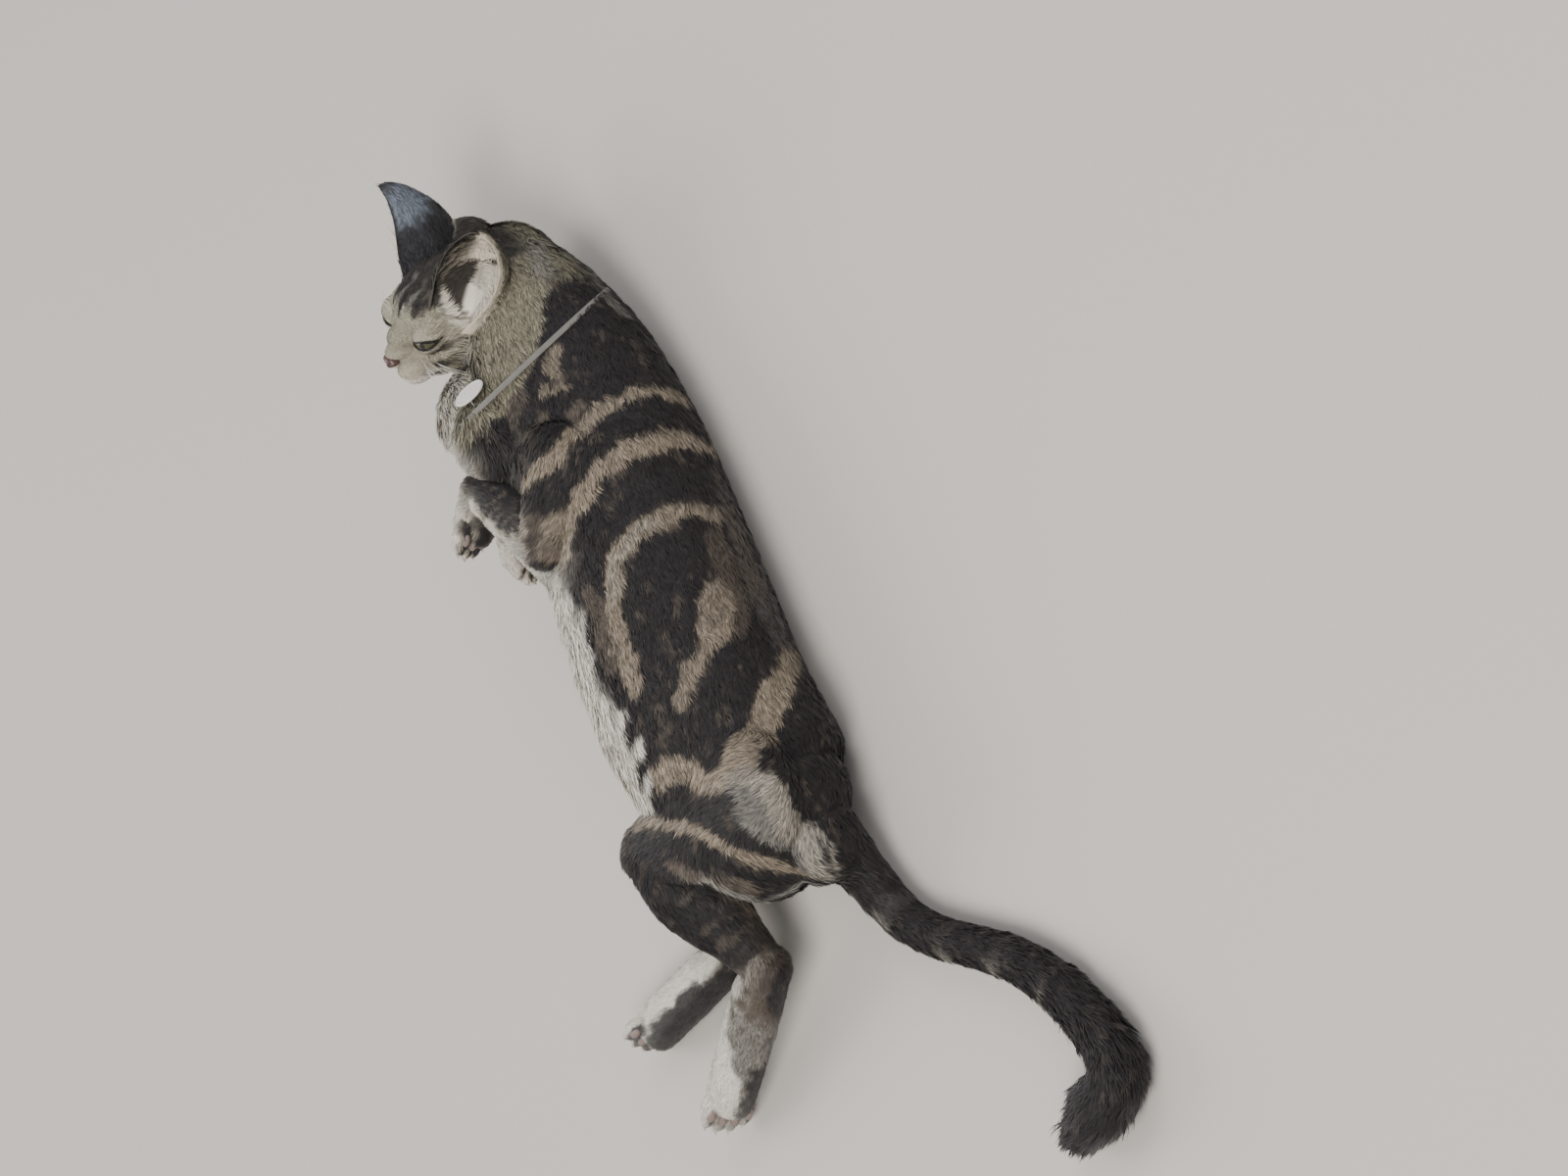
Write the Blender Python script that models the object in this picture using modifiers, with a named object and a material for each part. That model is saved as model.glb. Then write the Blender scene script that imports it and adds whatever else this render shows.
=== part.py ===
# A shorthaired tabby cat at life size, lying on its right side and rolled a little on to its back.
# Units are metres, +Z is up, and the trunk lies along X with the head at +X and the belly towards +Y.

import math

import bmesh
import bpy
from mathutils import Matrix, Vector
from mathutils.bvhtree import BVHTree

# Driving dimensions
TRUNK_ROLL = math.radians(30)        # how far the left flank leans back from straight up
TRUNK_HEIGHT = 0.055                 # trunk axis above the floor
TRUNK_HALF_WIDTH = 0.053             # flank to flank
TRUNK_HALF_DEPTH = 0.067             # back to belly
NECK_RADIUS = 0.041
TAIL_RADIUS = 0.0168
THIGH_RADIUS = 0.036
SHANK_RADIUS = 0.019
FOOT_RADIUS = 0.0150
FOREARM_RADIUS = 0.0165
HEAD_SCALE = 1.08                    # one, for a head 98 mm from nose to nape
HEAD_PLACE = Vector((0.2745, 0.0465, 0.0815))
HEAD_FORWARD = Vector((-0.295, 0.547, 0.780))
HEAD_LEFT = Vector((-0.863, -0.499, 0.020))
EYE_RADIUS = 0.0100
EYE_PLACE = Vector((0.0275, 0.0172, 0.0035))   # forward, out to the side, up from the head's middle
EYE_LOOK = Vector((0.84, 0.52, 0.14))
EAR_HEIGHT = 0.050
EAR_BASE_RADIUS = 0.0200
EAR_ROOT = 0.24                      # share of its height that an ear is sunk into the head
EAR_THICKNESS = 0.0018
# Root, rise and opening of each ear in the head's own frame; the left ear is turned back.
EAR_POSES = {
    1: (Vector((-0.0019, 0.0256, 0.0220)), Vector((-0.38, 0.26, 0.84)), Vector((0.84, 0.36, 0.30))),
    -1: (Vector((-0.0065, -0.0268, 0.0239)), Vector((0.02, -0.30, 0.95)), Vector((0.80, -0.60, 0.0))),
}
COLLAR_WIDTH = 0.0065
COLLAR_THICKNESS = 0.0023
TAG_LENGTH = 0.023
TAG_WIDTH = 0.016
TAG_THICKNESS = 0.0022
GAP = 0.0003                         # between pieces that touch
CUT = 0.0003                         # thickness of a parting cut

FORWARD = Vector((1, 0, 0))
DORSAL = Vector((0, -math.cos(TRUNK_ROLL), -math.sin(TRUNK_ROLL)))
LEFT = Vector((0, -math.sin(TRUNK_ROLL), math.cos(TRUNK_ROLL)))

# Coat and trim colours: base colour, roughness, metallic
COLOURS = {
    "tabby": ((0.115, 0.085, 0.065), 0.85, 0.0),
    "dark": ((0.022, 0.018, 0.018), 0.85, 0.0),
    "pale": ((0.48, 0.42, 0.34), 0.85, 0.0),
    "ear": ((0.19, 0.19, 0.20), 0.8, 0.0),
    "nose": ((0.28, 0.12, 0.10), 0.5, 0.0),
    "eye": ((0.32, 0.33, 0.07), 0.1, 0.0),
    "collar": ((0.42, 0.41, 0.38), 0.7, 0.0),
    "tag": ((0.80, 0.79, 0.76), 0.35, 0.0),
}


def clear_scene():
    for old in list(bpy.data.objects):
        bpy.data.objects.remove(old, do_unlink=True)


def collection(name):
    made = bpy.data.collections.new(name)
    bpy.context.scene.collection.children.link(made)
    return made


def material(name):
    colour, roughness, metallic = COLOURS[name]
    made = bpy.data.materials.get(name)
    if made is None:
        made = bpy.data.materials.new(name)
        made.use_nodes = True
        made.diffuse_color = (*colour, 1)
        shader = made.node_tree.nodes["Principled BSDF"]
        shader.inputs["Base Color"].default_value = (*colour, 1)
        shader.inputs["Roughness"].default_value = roughness
        shader.inputs["Metallic"].default_value = metallic
    return made


def object_from(shape, name, home):
    mesh = bpy.data.meshes.new(name)
    shape.to_mesh(mesh)
    shape.free()
    made = bpy.data.objects.new(name, mesh)
    home.objects.link(made)
    return made


def axes_matrix(x_axis, y_axis, place):
    # A frame with its first axis exact and its second as near as a right angle allows.
    first = x_axis.normalized()
    third = first.cross(y_axis).normalized()
    second = third.cross(first)
    turned = Matrix((first, second, third)).transposed().to_4x4()
    return Matrix.Translation(place) @ turned


def blob(shape, frame, place, radii, rings=16):
    # An ellipsoid whose radii run along the axes of a frame.
    made = bmesh.ops.create_uvsphere(shape, u_segments=2 * rings, v_segments=rings, radius=1.0)
    fitted = frame @ Matrix.Translation(Vector(place)) @ Matrix.Diagonal((*radii, 1))
    bmesh.ops.transform(shape, matrix=fitted, verts=made["verts"])


def spline(stations, steps):
    # Catmull-Rom through stations of equal length lists of numbers.
    rows = []
    last = len(stations) - 1
    for i in range(last):
        before, start = stations[max(i - 1, 0)], stations[i]
        end, after = stations[i + 1], stations[min(i + 2, last)]
        for k in range(steps):
            t = k / steps
            row = []
            for a, b, c, d in zip(before, start, end, after):
                bend = (c - a) * t + (2 * a - 5 * b + 4 * c - d) * t * t + (3 * b - 3 * c + d - a) * t ** 3
                row.append(b + bend / 2)
            rows.append(row)
    rows.append(list(stations[-1]))
    return rows


def tube(shape, stations, up, steps=5, sides=24):
    # A loft with rounded ends. A station is x, y, z, half width, half depth towards up, half depth away.
    rows = spline(stations, steps)
    centres = [Vector(row[:3]) for row in rows]
    rings = []
    for i, row in enumerate(rows):
        along = (centres[min(i + 1, len(rows) - 1)] - centres[max(i - 1, 0)]).normalized()
        side = up.cross(along).normalized()
        rise = along.cross(side)
        rings.append((centres[i], along, side, rise, row[3:]))
    rounded = []
    for end, sign in ((0, -1), (-1, 1)):
        centre, along, side, rise, radii = rings[end]
        reach = sum(radii) / 3
        caps = []
        for k in range(1, 5):
            angle = math.radians(20 * k)
            shrunk = [r * math.cos(angle) for r in radii]
            caps.append((centre + along * sign * reach * math.sin(angle), along, side, rise, shrunk))
        rounded.append(caps)
    rings = rounded[0][::-1] + rings + rounded[1]
    loops = []
    for centre, along, side, rise, (wide, high, low) in rings:
        loop = []
        for k in range(sides):
            angle = 2 * math.pi * k / sides
            lift = math.sin(angle)
            offset = side * wide * math.cos(angle) + rise * (high if lift > 0 else low) * lift
            loop.append(shape.verts.new(centre + offset))
        loops.append(loop)
    for below, above in zip(loops, loops[1:]):
        for k in range(sides):
            n = (k + 1) % sides
            shape.faces.new((below[k], below[n], above[n], above[k]))
    shape.faces.new(loops[0][::-1])
    shape.faces.new(loops[-1])


def applied(made):
    # Replaces the object's mesh by its evaluated one and drops its modifiers.
    graph = bpy.context.evaluated_depsgraph_get()
    graph.update()
    fresh = bpy.data.meshes.new_from_object(made.evaluated_get(graph))
    old = made.data
    made.modifiers.clear()
    made.data = fresh
    fresh.name = made.name
    bpy.data.meshes.remove(old)
    return made


def islands(shape):
    # The connected sets of faces of a bmesh, largest first.
    found = []
    seen = set()
    for start in shape.faces:
        if start.index in seen:
            continue
        seen.add(start.index)
        group, queue = [], [start]
        while queue:
            face = queue.pop()
            group.append(face)
            for edge in face.edges:
                for other in edge.link_faces:
                    if other.index not in seen:
                        seen.add(other.index)
                        queue.append(other)
        found.append(group)
    return sorted(found, key=lambda group: -sum(face.calc_area() for face in group))


def keep_largest(made):
    shape = bmesh.new()
    shape.from_mesh(made.data)
    shape.faces.ensure_lookup_table()
    shape.faces.index_update()
    for group in islands(shape)[1:]:
        bmesh.ops.delete(shape, geom=group, context="FACES")
    loose = [vert for vert in shape.verts if not vert.link_faces]
    bmesh.ops.delete(shape, geom=loose, context="VERTS")
    bmesh.ops.triangulate(shape, faces=shape.faces)
    shape.to_mesh(made.data)
    shape.free()
    return made


def flesh(shape, name, home, voxel, smoothing, triangles):
    # Fuses overlapping closed forms into one soft surface of a chosen number of triangles.
    bmesh.ops.recalc_face_normals(shape, faces=shape.faces)
    made = object_from(shape, name, home)
    remesh = made.modifiers.new("Fuse", "REMESH")
    remesh.mode = "VOXEL"
    remesh.voxel_size = voxel
    smooth = made.modifiers.new("Soften", "SMOOTH")
    smooth.factor = 0.5
    smooth.iterations = smoothing
    applied(made)
    keep_largest(made)
    thin = made.modifiers.new("Thin", "DECIMATE")
    thin.ratio = min(1.0, triangles / len(made.data.polygons))
    return keep_largest(applied(made))


def grown(made, distance, home):
    # A copy moved out along its normals.
    copy = bpy.data.objects.new(made.name + "_grown", made.data.copy())
    home.objects.link(copy)
    move = copy.modifiers.new("Grow", "DISPLACE")
    move.mid_level = 0
    move.strength = distance
    copy.hide_render = True
    copy.display_type = "WIRE"
    return applied(copy)


def combine(made, other, operation, solver="EXACT"):
    cut = made.modifiers.new("Combine", "BOOLEAN")
    cut.operation = operation
    cut.solver = solver
    cut.object = other
    return applied(made)


def trim(made, other, cutters, clearance=GAP * 1.5):
    # Cuts a piece clear of its neighbour by a little more than the gap.
    cutter = grown(other, clearance, cutters)
    combine(made, cutter, "DIFFERENCE")
    bpy.data.objects.remove(cutter, do_unlink=True)
    return keep_largest(made)


def disc(shape, place, normal, radius, thickness):
    frame = axes_matrix(normal, Vector((0.31, 0.27, 0.91)), place) @ Matrix.Rotation(math.pi / 2, 4, "Y")
    bmesh.ops.create_cone(shape, cap_ends=True, segments=24, radius1=radius, radius2=radius,
                          depth=thickness, matrix=frame)


def part_by_discs(whole, cuts, pieces, home, cutters):
    # Parts a form with thin discs. A cut is place, normal, radius; a piece is name, colour, place inside.
    for place, normal, radius in cuts:
        shape = bmesh.new()
        disc(shape, place, normal, radius, CUT)
        cutter = object_from(shape, "parting", cutters)
        combine(whole, cutter, "DIFFERENCE")
        bpy.data.objects.remove(cutter, do_unlink=True)
    shape = bmesh.new()
    shape.from_mesh(whole.data)
    shape.faces.ensure_lookup_table()
    shape.faces.index_update()
    groups = islands(shape)[:len(pieces)]
    nodes = []
    for name, colour, anchor in pieces:
        nearest = min(range(len(groups)), key=lambda i: group_distance(groups[i], anchor))
        keep = {face.index for face in groups.pop(nearest)}
        piece = shape.copy()
        piece.faces.ensure_lookup_table()
        extra = [face for face in piece.faces if face.index not in keep]
        bmesh.ops.delete(piece, geom=extra, context="FACES")
        nodes.append(keep_largest(object_from(piece, name, home)))
        nodes[-1].data.materials.append(material(colour))
    shape.free()
    bpy.data.objects.remove(whole, do_unlink=True)
    return nodes


def group_distance(group, anchor):
    middle = sum((face.calc_center_median() for face in group), Vector()) / len(group)
    return (middle - anchor).length


def trunk_point(x, ventral, lateral):
    # A place given along the trunk, out towards the belly and out towards the left flank.
    return Vector((x, 0, TRUNK_HEIGHT)) - DORSAL * ventral + LEFT * lateral


def make_core(home):
    # Trunk and neck, with the haunches and shoulders swelling from them, and the tail.
    shape = bmesh.new()
    wide, deep = TRUNK_HALF_WIDTH, TRUNK_HALF_DEPTH
    trunk = (
        (-0.164, -0.024, 0.045, wide * 0.58, deep * 0.52, deep * 0.44),
        (-0.147, -0.010, 0.052, wide * 0.88, deep * 0.85, deep * 0.80),
        (-0.115, 0.000, 0.055, wide * 0.98, deep * 1.06, deep * 0.94),
        (-0.060, 0.001, 0.056, wide * 1.04, deep * 1.02, deep * 1.08),
        (0.000, -0.002, 0.056, wide * 1.05, deep * 1.00, deep * 1.10),
        (0.060, -0.003, 0.055, wide * 1.03, deep * 1.00, deep * 1.04),
        (0.115, 0.000, 0.054, wide * 0.97, deep * 1.03, deep * 0.98),
        (0.165, 0.004, 0.053, wide * 0.90, deep * 1.00, deep * 0.96),
        (0.205, 0.008, 0.053, wide * 0.88, NECK_RADIUS * 1.53, deep * 0.90),
        (0.245, 0.012, 0.052, NECK_RADIUS * 1.12, NECK_RADIUS * 1.27, NECK_RADIUS * 1.2),
        (0.278, 0.019, 0.049, NECK_RADIUS * 0.98, NECK_RADIUS * 0.95, NECK_RADIUS),
    )
    tube(shape, trunk, DORSAL)
    body = axes_matrix(FORWARD, -DORSAL, Vector((0, 0, TRUNK_HEIGHT)))
    blob(shape, body, (0.172, 0.050, 0.000), (0.042, 0.044, 0.034))
    blob(shape, body, (0.199, 0.063, -0.010), (0.036, 0.036, 0.030))
    blob(shape, body, (0.100, -0.006, 0.018), (0.056, 0.054, 0.038))
    blob(shape, body, (-0.128, -0.020, 0.002), (0.045, 0.044, 0.044))
    tail = [(*place, *[TAIL_RADIUS * share] * 3) for *place, share in (
        (-0.135, -0.030, 0.0440, 1.43), (-0.177, -0.030, 0.0285, 1.20), (-0.203, -0.033, 0.0205, 1.06),
        (-0.228, -0.042, 0.0175, 1.00), (-0.248, -0.058, 0.0165, 0.97), (-0.267, -0.082, 0.0165, 0.97),
        (-0.289, -0.108, 0.0170, 1.00), (-0.316, -0.128, 0.0175, 1.04), (-0.342, -0.140, 0.0180, 1.07),
        (-0.361, -0.145, 0.0185, 1.11), (-0.377, -0.142, 0.0195, 1.17), (-0.387, -0.123, 0.0200, 1.20),
        (-0.393, -0.101, 0.0165, 0.90),
    )]
    tube(shape, tail, Vector((0, 0, 1)), steps=3, sides=16)
    return flesh(shape, "core", home, 0.0035, 6, 1500)


def make_leg(name, home, bones, toes, triangles):
    # Bones are lists of stations; toes give the foot's tip, its direction and the way its sole faces.
    shape = bmesh.new()
    for stations, up in bones:
        tube(shape, stations, up, steps=4, sides=16)
    tip, along, sole, size = toes
    foot = axes_matrix(along, sole, tip)
    for k in range(4):
        aside = (k - 1.5) * 0.62
        back = -0.35 * abs(k - 1.5)
        blob(shape, foot, (back * size, 0.05 * size, aside * size),
             (1.15 * size, 0.62 * size, 0.44 * size), rings=10)
        blob(shape, foot, (back * size + 0.2 * size, 0.46 * size, aside * size),
             (0.55 * size, 0.30 * size, 0.32 * size), rings=8)
    blob(shape, foot, (-1.9 * size, 0.52 * size, 0), (0.85 * size, 0.40 * size, 0.80 * size), rings=10)
    return flesh(shape, name, home, 0.0019, 3, triangles)


def joint_cut(before, joint, after, radius):
    # A parting disc along the bisector of a bent joint.
    return joint, (after - joint).normalized() - (before - joint).normalized(), radius


def left_hind_leg(home):
    hip = trunk_point(-0.126, -0.012, 0.034)
    knee = Vector((-0.120, 0.064, 0.088))
    hock = Vector((-0.2095, 0.0545, 0.0455))
    toe = Vector((-0.2630, 0.1670, 0.0190))
    thigh, shank, foot = THIGH_RADIUS, SHANK_RADIUS, FOOT_RADIUS
    bones = (
        (((*hip, thigh * 1.25, thigh * 0.75, thigh * 0.75),
          (*hip.lerp(knee, 0.5), thigh * 1.12, thigh * 0.72, thigh * 0.72),
          (*knee, thigh * 0.68, thigh * 0.58, thigh * 0.58)), LEFT),
        (((*knee, shank * 1.2, shank * 1.05, shank * 1.05),
          (*knee.lerp(hock, 0.35), shank * 1.55, shank, shank),
          (*knee.lerp(hock, 0.75), shank * 1.10, shank * 0.8, shank * 0.8),
          (*hock, shank * 0.85, shank * 0.7, shank * 0.7)), LEFT),
        (((*hock, foot * 1.16, foot * 1.10, foot * 1.10),
          (*hock.lerp(toe, 0.35), foot * 1.28, foot * 1.14, foot * 1.14),
          (*hock.lerp(toe, 0.85), foot * 1.25, foot * 0.98, foot * 0.98)), Vector((0, 0, 1))),
    )
    along = (toe - hock).normalized()
    whole = make_leg("leg_hind_left", home, bones, (toe, along, Vector((-0.8, -0.3, 0.3)), 0.0135), 950)
    cuts = (joint_cut(hip, knee, hock, 0.085), joint_cut(knee, hock, toe, 0.036))
    pieces = (
        ("hind_left_thigh", "tabby", hip.lerp(knee, 0.35)),
        ("hind_left_shank", "dark", knee.lerp(hock, 0.5)),
        ("hind_left_foot", "pale", hock.lerp(toe, 0.6)),
    )
    return whole, cuts, pieces


def right_hind_leg(home):
    hip = trunk_point(-0.125, 0.000, -0.018)
    knee = Vector((-0.098, 0.086, 0.034))
    hock = Vector((-0.1805, 0.1065, 0.0225))
    toe = Vector((-0.1880, 0.2090, 0.0160))
    thigh, shank, foot = THIGH_RADIUS, SHANK_RADIUS, FOOT_RADIUS
    up = Vector((0, 0, 1))
    bones = (
        (((*hip, thigh * 1.1, thigh * 0.70, thigh * 0.70),
          (*hip.lerp(knee, 0.5), thigh * 1.0, thigh * 0.70, thigh * 0.70),
          (*knee, thigh * 0.70, thigh * 0.60, thigh * 0.60)), up),
        (((*knee, shank * 1.2, shank * 1.0, shank * 1.0),
          (*knee.lerp(hock, 0.35), shank * 1.3, shank, shank),
          (*hock, shank * 0.8, shank * 0.7, shank * 0.7)), up),
        (((*hock, foot * 1.10, foot * 1.1, foot * 1.1),
          (*hock.lerp(toe, 0.35), foot * 1.20, foot * 1.10, foot * 1.10),
          (*hock.lerp(toe, 0.85), foot * 1.22, foot * 0.92, foot * 0.92)), up),
    )
    along = (toe - hock).normalized()
    whole = make_leg("leg_hind_right", home, bones, (toe, along, Vector((-0.85, 0, 0.52)), 0.0130), 850)
    cuts = (joint_cut(hip, knee, hock, 0.085), joint_cut(knee, hock, toe, 0.036))
    pieces = (
        ("hind_right_thigh", "tabby", hip.lerp(knee, 0.4)),
        ("hind_right_shank", "dark", knee.lerp(hock, 0.5)),
        ("hind_right_foot", "pale", hock.lerp(toe, 0.6)),
    )
    return whole, cuts, pieces


def foreleg(side, home):
    # Folded against the chest, the wrist bent and the palm turned back towards the breast.
    if side == "left":
        shoulder = trunk_point(0.128, 0.014, 0.036)
        elbow = trunk_point(0.078, 0.048, 0.036)
        wrist = trunk_point(0.146, 0.084, 0.000)
        toe = trunk_point(0.127, 0.109, -0.018)
    else:
        shoulder = trunk_point(0.130, 0.018, -0.022)
        elbow = trunk_point(0.074, 0.056, -0.026)
        wrist = trunk_point(0.136, 0.084, -0.044)
        toe = trunk_point(0.107, 0.091, -0.052)
    arm = FOREARM_RADIUS
    bones = (
        (((*shoulder, arm * 1.9, arm * 1.2, arm * 1.2),
          (*shoulder.lerp(elbow, 0.5), arm * 1.5, arm * 1.1, arm * 1.1),
          (*elbow, arm * 1.15, arm * 1.05, arm * 1.05)), LEFT),
        (((*elbow, arm * 1.15, arm * 1.05, arm * 1.05),
          (*elbow.lerp(wrist, 0.45), arm * 1.15, arm, arm),
          (*wrist, arm * 0.90, arm * 0.84, arm * 0.84)), LEFT),
        (((*wrist, arm * 0.90, arm * 0.84, arm * 0.84),
          (*wrist.lerp(toe, 0.7), arm * 0.98, arm * 0.74, arm * 0.74)), LEFT),
    )
    along = (toe - wrist).normalized()
    palm = (shoulder - toe).normalized()
    whole = make_leg("leg_fore_" + side, home, bones, (toe, along, palm, 0.0122), 700)
    cuts = (joint_cut(shoulder, elbow, wrist, 0.064), joint_cut(elbow, wrist, toe, 0.047))
    pieces = (
        ("fore_%s_upper_arm" % side, "tabby", shoulder.lerp(elbow, 0.3)),
        ("fore_%s_forearm" % side, "dark", elbow.lerp(wrist, 0.5)),
        ("fore_%s_paw" % side, "pale", wrist.lerp(toe, 0.9)),
    )
    return whole, cuts, pieces


def head_frame():
    turned = axes_matrix(HEAD_FORWARD, HEAD_LEFT, HEAD_PLACE)
    return turned @ Matrix.Scale(HEAD_SCALE, 4)


def almond(shape, frame, half_width, half_height, depth, points):
    # A prism with a pointed oval section, run along the frame's first axis.
    outline = []
    for k in range(2 * points):
        t = k / points - 1 if k < points else 3 - k / points - 2
        rise = half_height * (1 - t * t) ** 0.8
        outline.append((t * half_width, rise if k < points else -rise * 0.9))
    front = [shape.verts.new(frame @ Vector((depth, y, z))) for y, z in outline]
    back = [shape.verts.new(frame @ Vector((-depth * 0.1, y, z))) for y, z in outline]
    shape.faces.new(front)
    shape.faces.new(back[::-1])
    for k in range(2 * points):
        n = (k + 1) % (2 * points)
        shape.faces.new((front[n], front[k], back[k], back[n]))
    bmesh.ops.recalc_face_normals(shape, faces=shape.faces)


def eye_frame(side):
    place = Vector((EYE_PLACE.x, EYE_PLACE.y * side, EYE_PLACE.z))
    look = Vector((EYE_LOOK.x, EYE_LOOK.y * side, EYE_LOOK.z))
    across = Vector((-EYE_LOOK.y, EYE_LOOK.x * side, 0.22))
    return head_frame() @ axes_matrix(look, across, place)


def make_head(home):
    frame = head_frame()
    shape = bmesh.new()
    blob(shape, frame, (-0.006, 0, 0.004), (0.041, 0.035, 0.032))
    blob(shape, frame, (0.014, 0, 0.009), (0.024, 0.024, 0.021))
    blob(shape, frame, (0.031, 0, 0.001), (0.018, 0.0115, 0.0115))
    blob(shape, frame, (0.040, 0, -0.006), (0.0135, 0.0088, 0.0085))
    blob(shape, frame, (0.014, 0, -0.018), (0.031, 0.024, 0.0205))
    blob(shape, frame, (0.0345, 0, -0.0285), (0.0140, 0.0115, 0.0085))
    blob(shape, frame, (-0.026, -0.013, 0.022), (0.021, 0.021, 0.0145))
    for side in (1, -1):
        blob(shape, frame, (0.004, 0.020 * side, -0.009), (0.031, 0.0190, 0.022))
        blob(shape, frame, (0.040, 0.0078 * side, -0.0170), (0.0125, 0.0098, 0.0082))
        blob(shape, frame, (0.0175, 0.0150 * side, 0.0115), (0.0145, 0.0115, 0.0090))
        blob(shape, frame, (-0.012, 0.022 * side, 0.012), (0.018, 0.014, 0.015))
        blob(shape, eye_frame(side), (-0.0008, 0, 0), (0.0124, 0.0124, 0.0122))
    return flesh(shape, "head", home, 0.0014, 7, 1650)


def mouth_groove(head, home):
    # The parting of the lips, laid on the head's own surface.
    frame = head_frame()
    surface = BVHTree.FromObject(head, bpy.context.evaluated_depsgraph_get())
    lips = ((0.050, 0.0, -0.0165), (0.0490, 0.0006, -0.0205), (0.0465, 0.005, -0.0245),
            (0.041, 0.0105, -0.0262), (0.034, 0.0145, -0.0258), (0.026, 0.0185, -0.0235))
    cutters = []
    for side in (1, -1):
        route = [surface.find_nearest(frame @ Vector((x, y * side, z)))[0] for x, y, z in lips]
        shape = bmesh.new()
        tube(shape, [(*place, 0.0009, 0.0011, 0.0011) for place in route], HEAD_LEFT, steps=2, sides=6)
        bmesh.ops.recalc_face_normals(shape, faces=shape.faces)
        cutters.append(object_from(shape, "mouth_line", home))
    return cutters


def make_nose(home):
    frame = head_frame()
    shape = bmesh.new()
    blob(shape, frame, (0.0495, 0, -0.0085), (0.0040, 0.0052, 0.0030), rings=12)
    blob(shape, frame, (0.0505, 0, -0.0120), (0.0032, 0.0022, 0.0030), rings=12)
    nose = flesh(shape, "nose", home, 0.0006, 3, 260)
    nose.data.materials.append(material("nose"))
    return nose


def pierce_nostrils(nose, cutters):
    for side in (1, -1):
        shape = bmesh.new()
        blob(shape, head_frame(), (0.0535, 0.0028 * side, -0.0098), (0.0022, 0.0011, 0.0009), rings=6)
        cutter = object_from(shape, "nostril", cutters)
        combine(nose, cutter, "DIFFERENCE")
        bpy.data.objects.remove(cutter, do_unlink=True)
    return keep_largest(nose)


def make_ear(side, home):
    # A cupped cone whose front is open: rows climb the ear, columns run round the cup.
    frame = head_frame()
    root, rise, opening = EAR_POSES[side]
    cup = frame @ axes_matrix(rise, -opening, root)
    shape = bmesh.new()
    rows, columns = 9, 11
    grid = []
    for i in range(rows):
        s = i / (rows - 1) * (1 + EAR_ROOT) - EAR_ROOT
        taper = (1 - max(s, 0) ** 2) ** 0.62 * (1 + 0.06 * math.sin(math.pi * s)) - 0.25 * min(s, 0)
        radius = EAR_BASE_RADIUS * taper + 0.0012
        spread = math.radians(132 - 62 * s)
        row = []
        for j in range(columns):
            angle = spread * (2 * j / (columns - 1) - 1)
            back = radius * math.cos(angle) - EAR_BASE_RADIUS * 0.35 * s * s
            row.append(shape.verts.new(cup @ Vector((EAR_HEIGHT * s, back, radius * math.sin(angle)))))
        grid.append(row)
    for lower, upper in zip(grid, grid[1:]):
        for j in range(columns - 1):
            shape.faces.new((lower[j], lower[j + 1], upper[j + 1], upper[j]))
    bmesh.ops.recalc_face_normals(shape, faces=shape.faces)
    ear = object_from(shape, "ear_left" if side > 0 else "ear_right", home)
    shell = ear.modifiers.new("Shell", "SOLIDIFY")
    shell.thickness = EAR_THICKNESS
    shell.offset = 0
    shell.use_even_offset = True
    ear.data.materials.append(material("ear"))
    return keep_largest(applied(ear))


def make_eye(side, home):
    shape = bmesh.new()
    blob(shape, eye_frame(side), (0, 0, 0), (EYE_RADIUS,) * 3, rings=8)
    eye = object_from(shape, "eye_left" if side > 0 else "eye_right", home)
    eye.data.materials.append(material("eye"))
    return keep_largest(eye)


def open_lids(head, side, cutters):
    socket = bmesh.new()
    blob(socket, eye_frame(side), (0, 0, 0), (EYE_RADIUS + GAP * 1.3,) * 3, rings=8)
    slit = bmesh.new()
    almond(slit, eye_frame(side), 0.0092, 0.0030, 0.020, points=8)
    for shape in (socket, slit):
        cutter = object_from(shape, "eye_opening", cutters)
        combine(head, cutter, "DIFFERENCE")
        bpy.data.objects.remove(cutter, do_unlink=True)


def make_collar(core, home):
    # A band let into the fur of the neck. It follows the neck's own outline and bridges its hollows.
    place = Vector((0.214, 0.016, 0.058))
    frame = axes_matrix(Vector((0.86, -0.02, 0.51)), LEFT, place)
    surface = BVHTree.FromObject(core, bpy.context.evaluated_depsgraph_get())
    shape = bmesh.new()
    loops = []
    steps = 40
    angles = [2 * math.pi * k / steps for k in range(steps)]
    rays = [frame.to_3x3() @ Vector((0, math.cos(angle), math.sin(angle))) for angle in angles]
    reaches = [(surface.ray_cast(place, ray)[0] - place).length for ray in rays]
    for bridging in range(12):
        reaches = [max(reaches[k], (reaches[k - 1] + reaches[(k + 1) % steps]) / 2) for k in range(steps)]
    for ray, reach in zip(rays, reaches):
        loop = []
        for along, out in ((-0.5, -0.4), (0.5, -0.4), (0.5, 0.6), (-0.5, 0.6)):
            edge = frame.to_3x3() @ Vector((along * COLLAR_WIDTH, 0, 0))
            loop.append(shape.verts.new(place + ray * (reach + out * COLLAR_THICKNESS) + edge))
        loops.append(loop)
    for k in range(steps):
        after = loops[(k + 1) % steps]
        for i in range(4):
            n = (i + 1) % 4
            shape.faces.new((loops[k][i], loops[k][n], after[n], after[i]))
    bmesh.ops.recalc_face_normals(shape, faces=shape.faces)
    band = object_from(shape, "collar", home)
    band.data.materials.append(material("collar"))
    return keep_largest(band)


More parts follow.
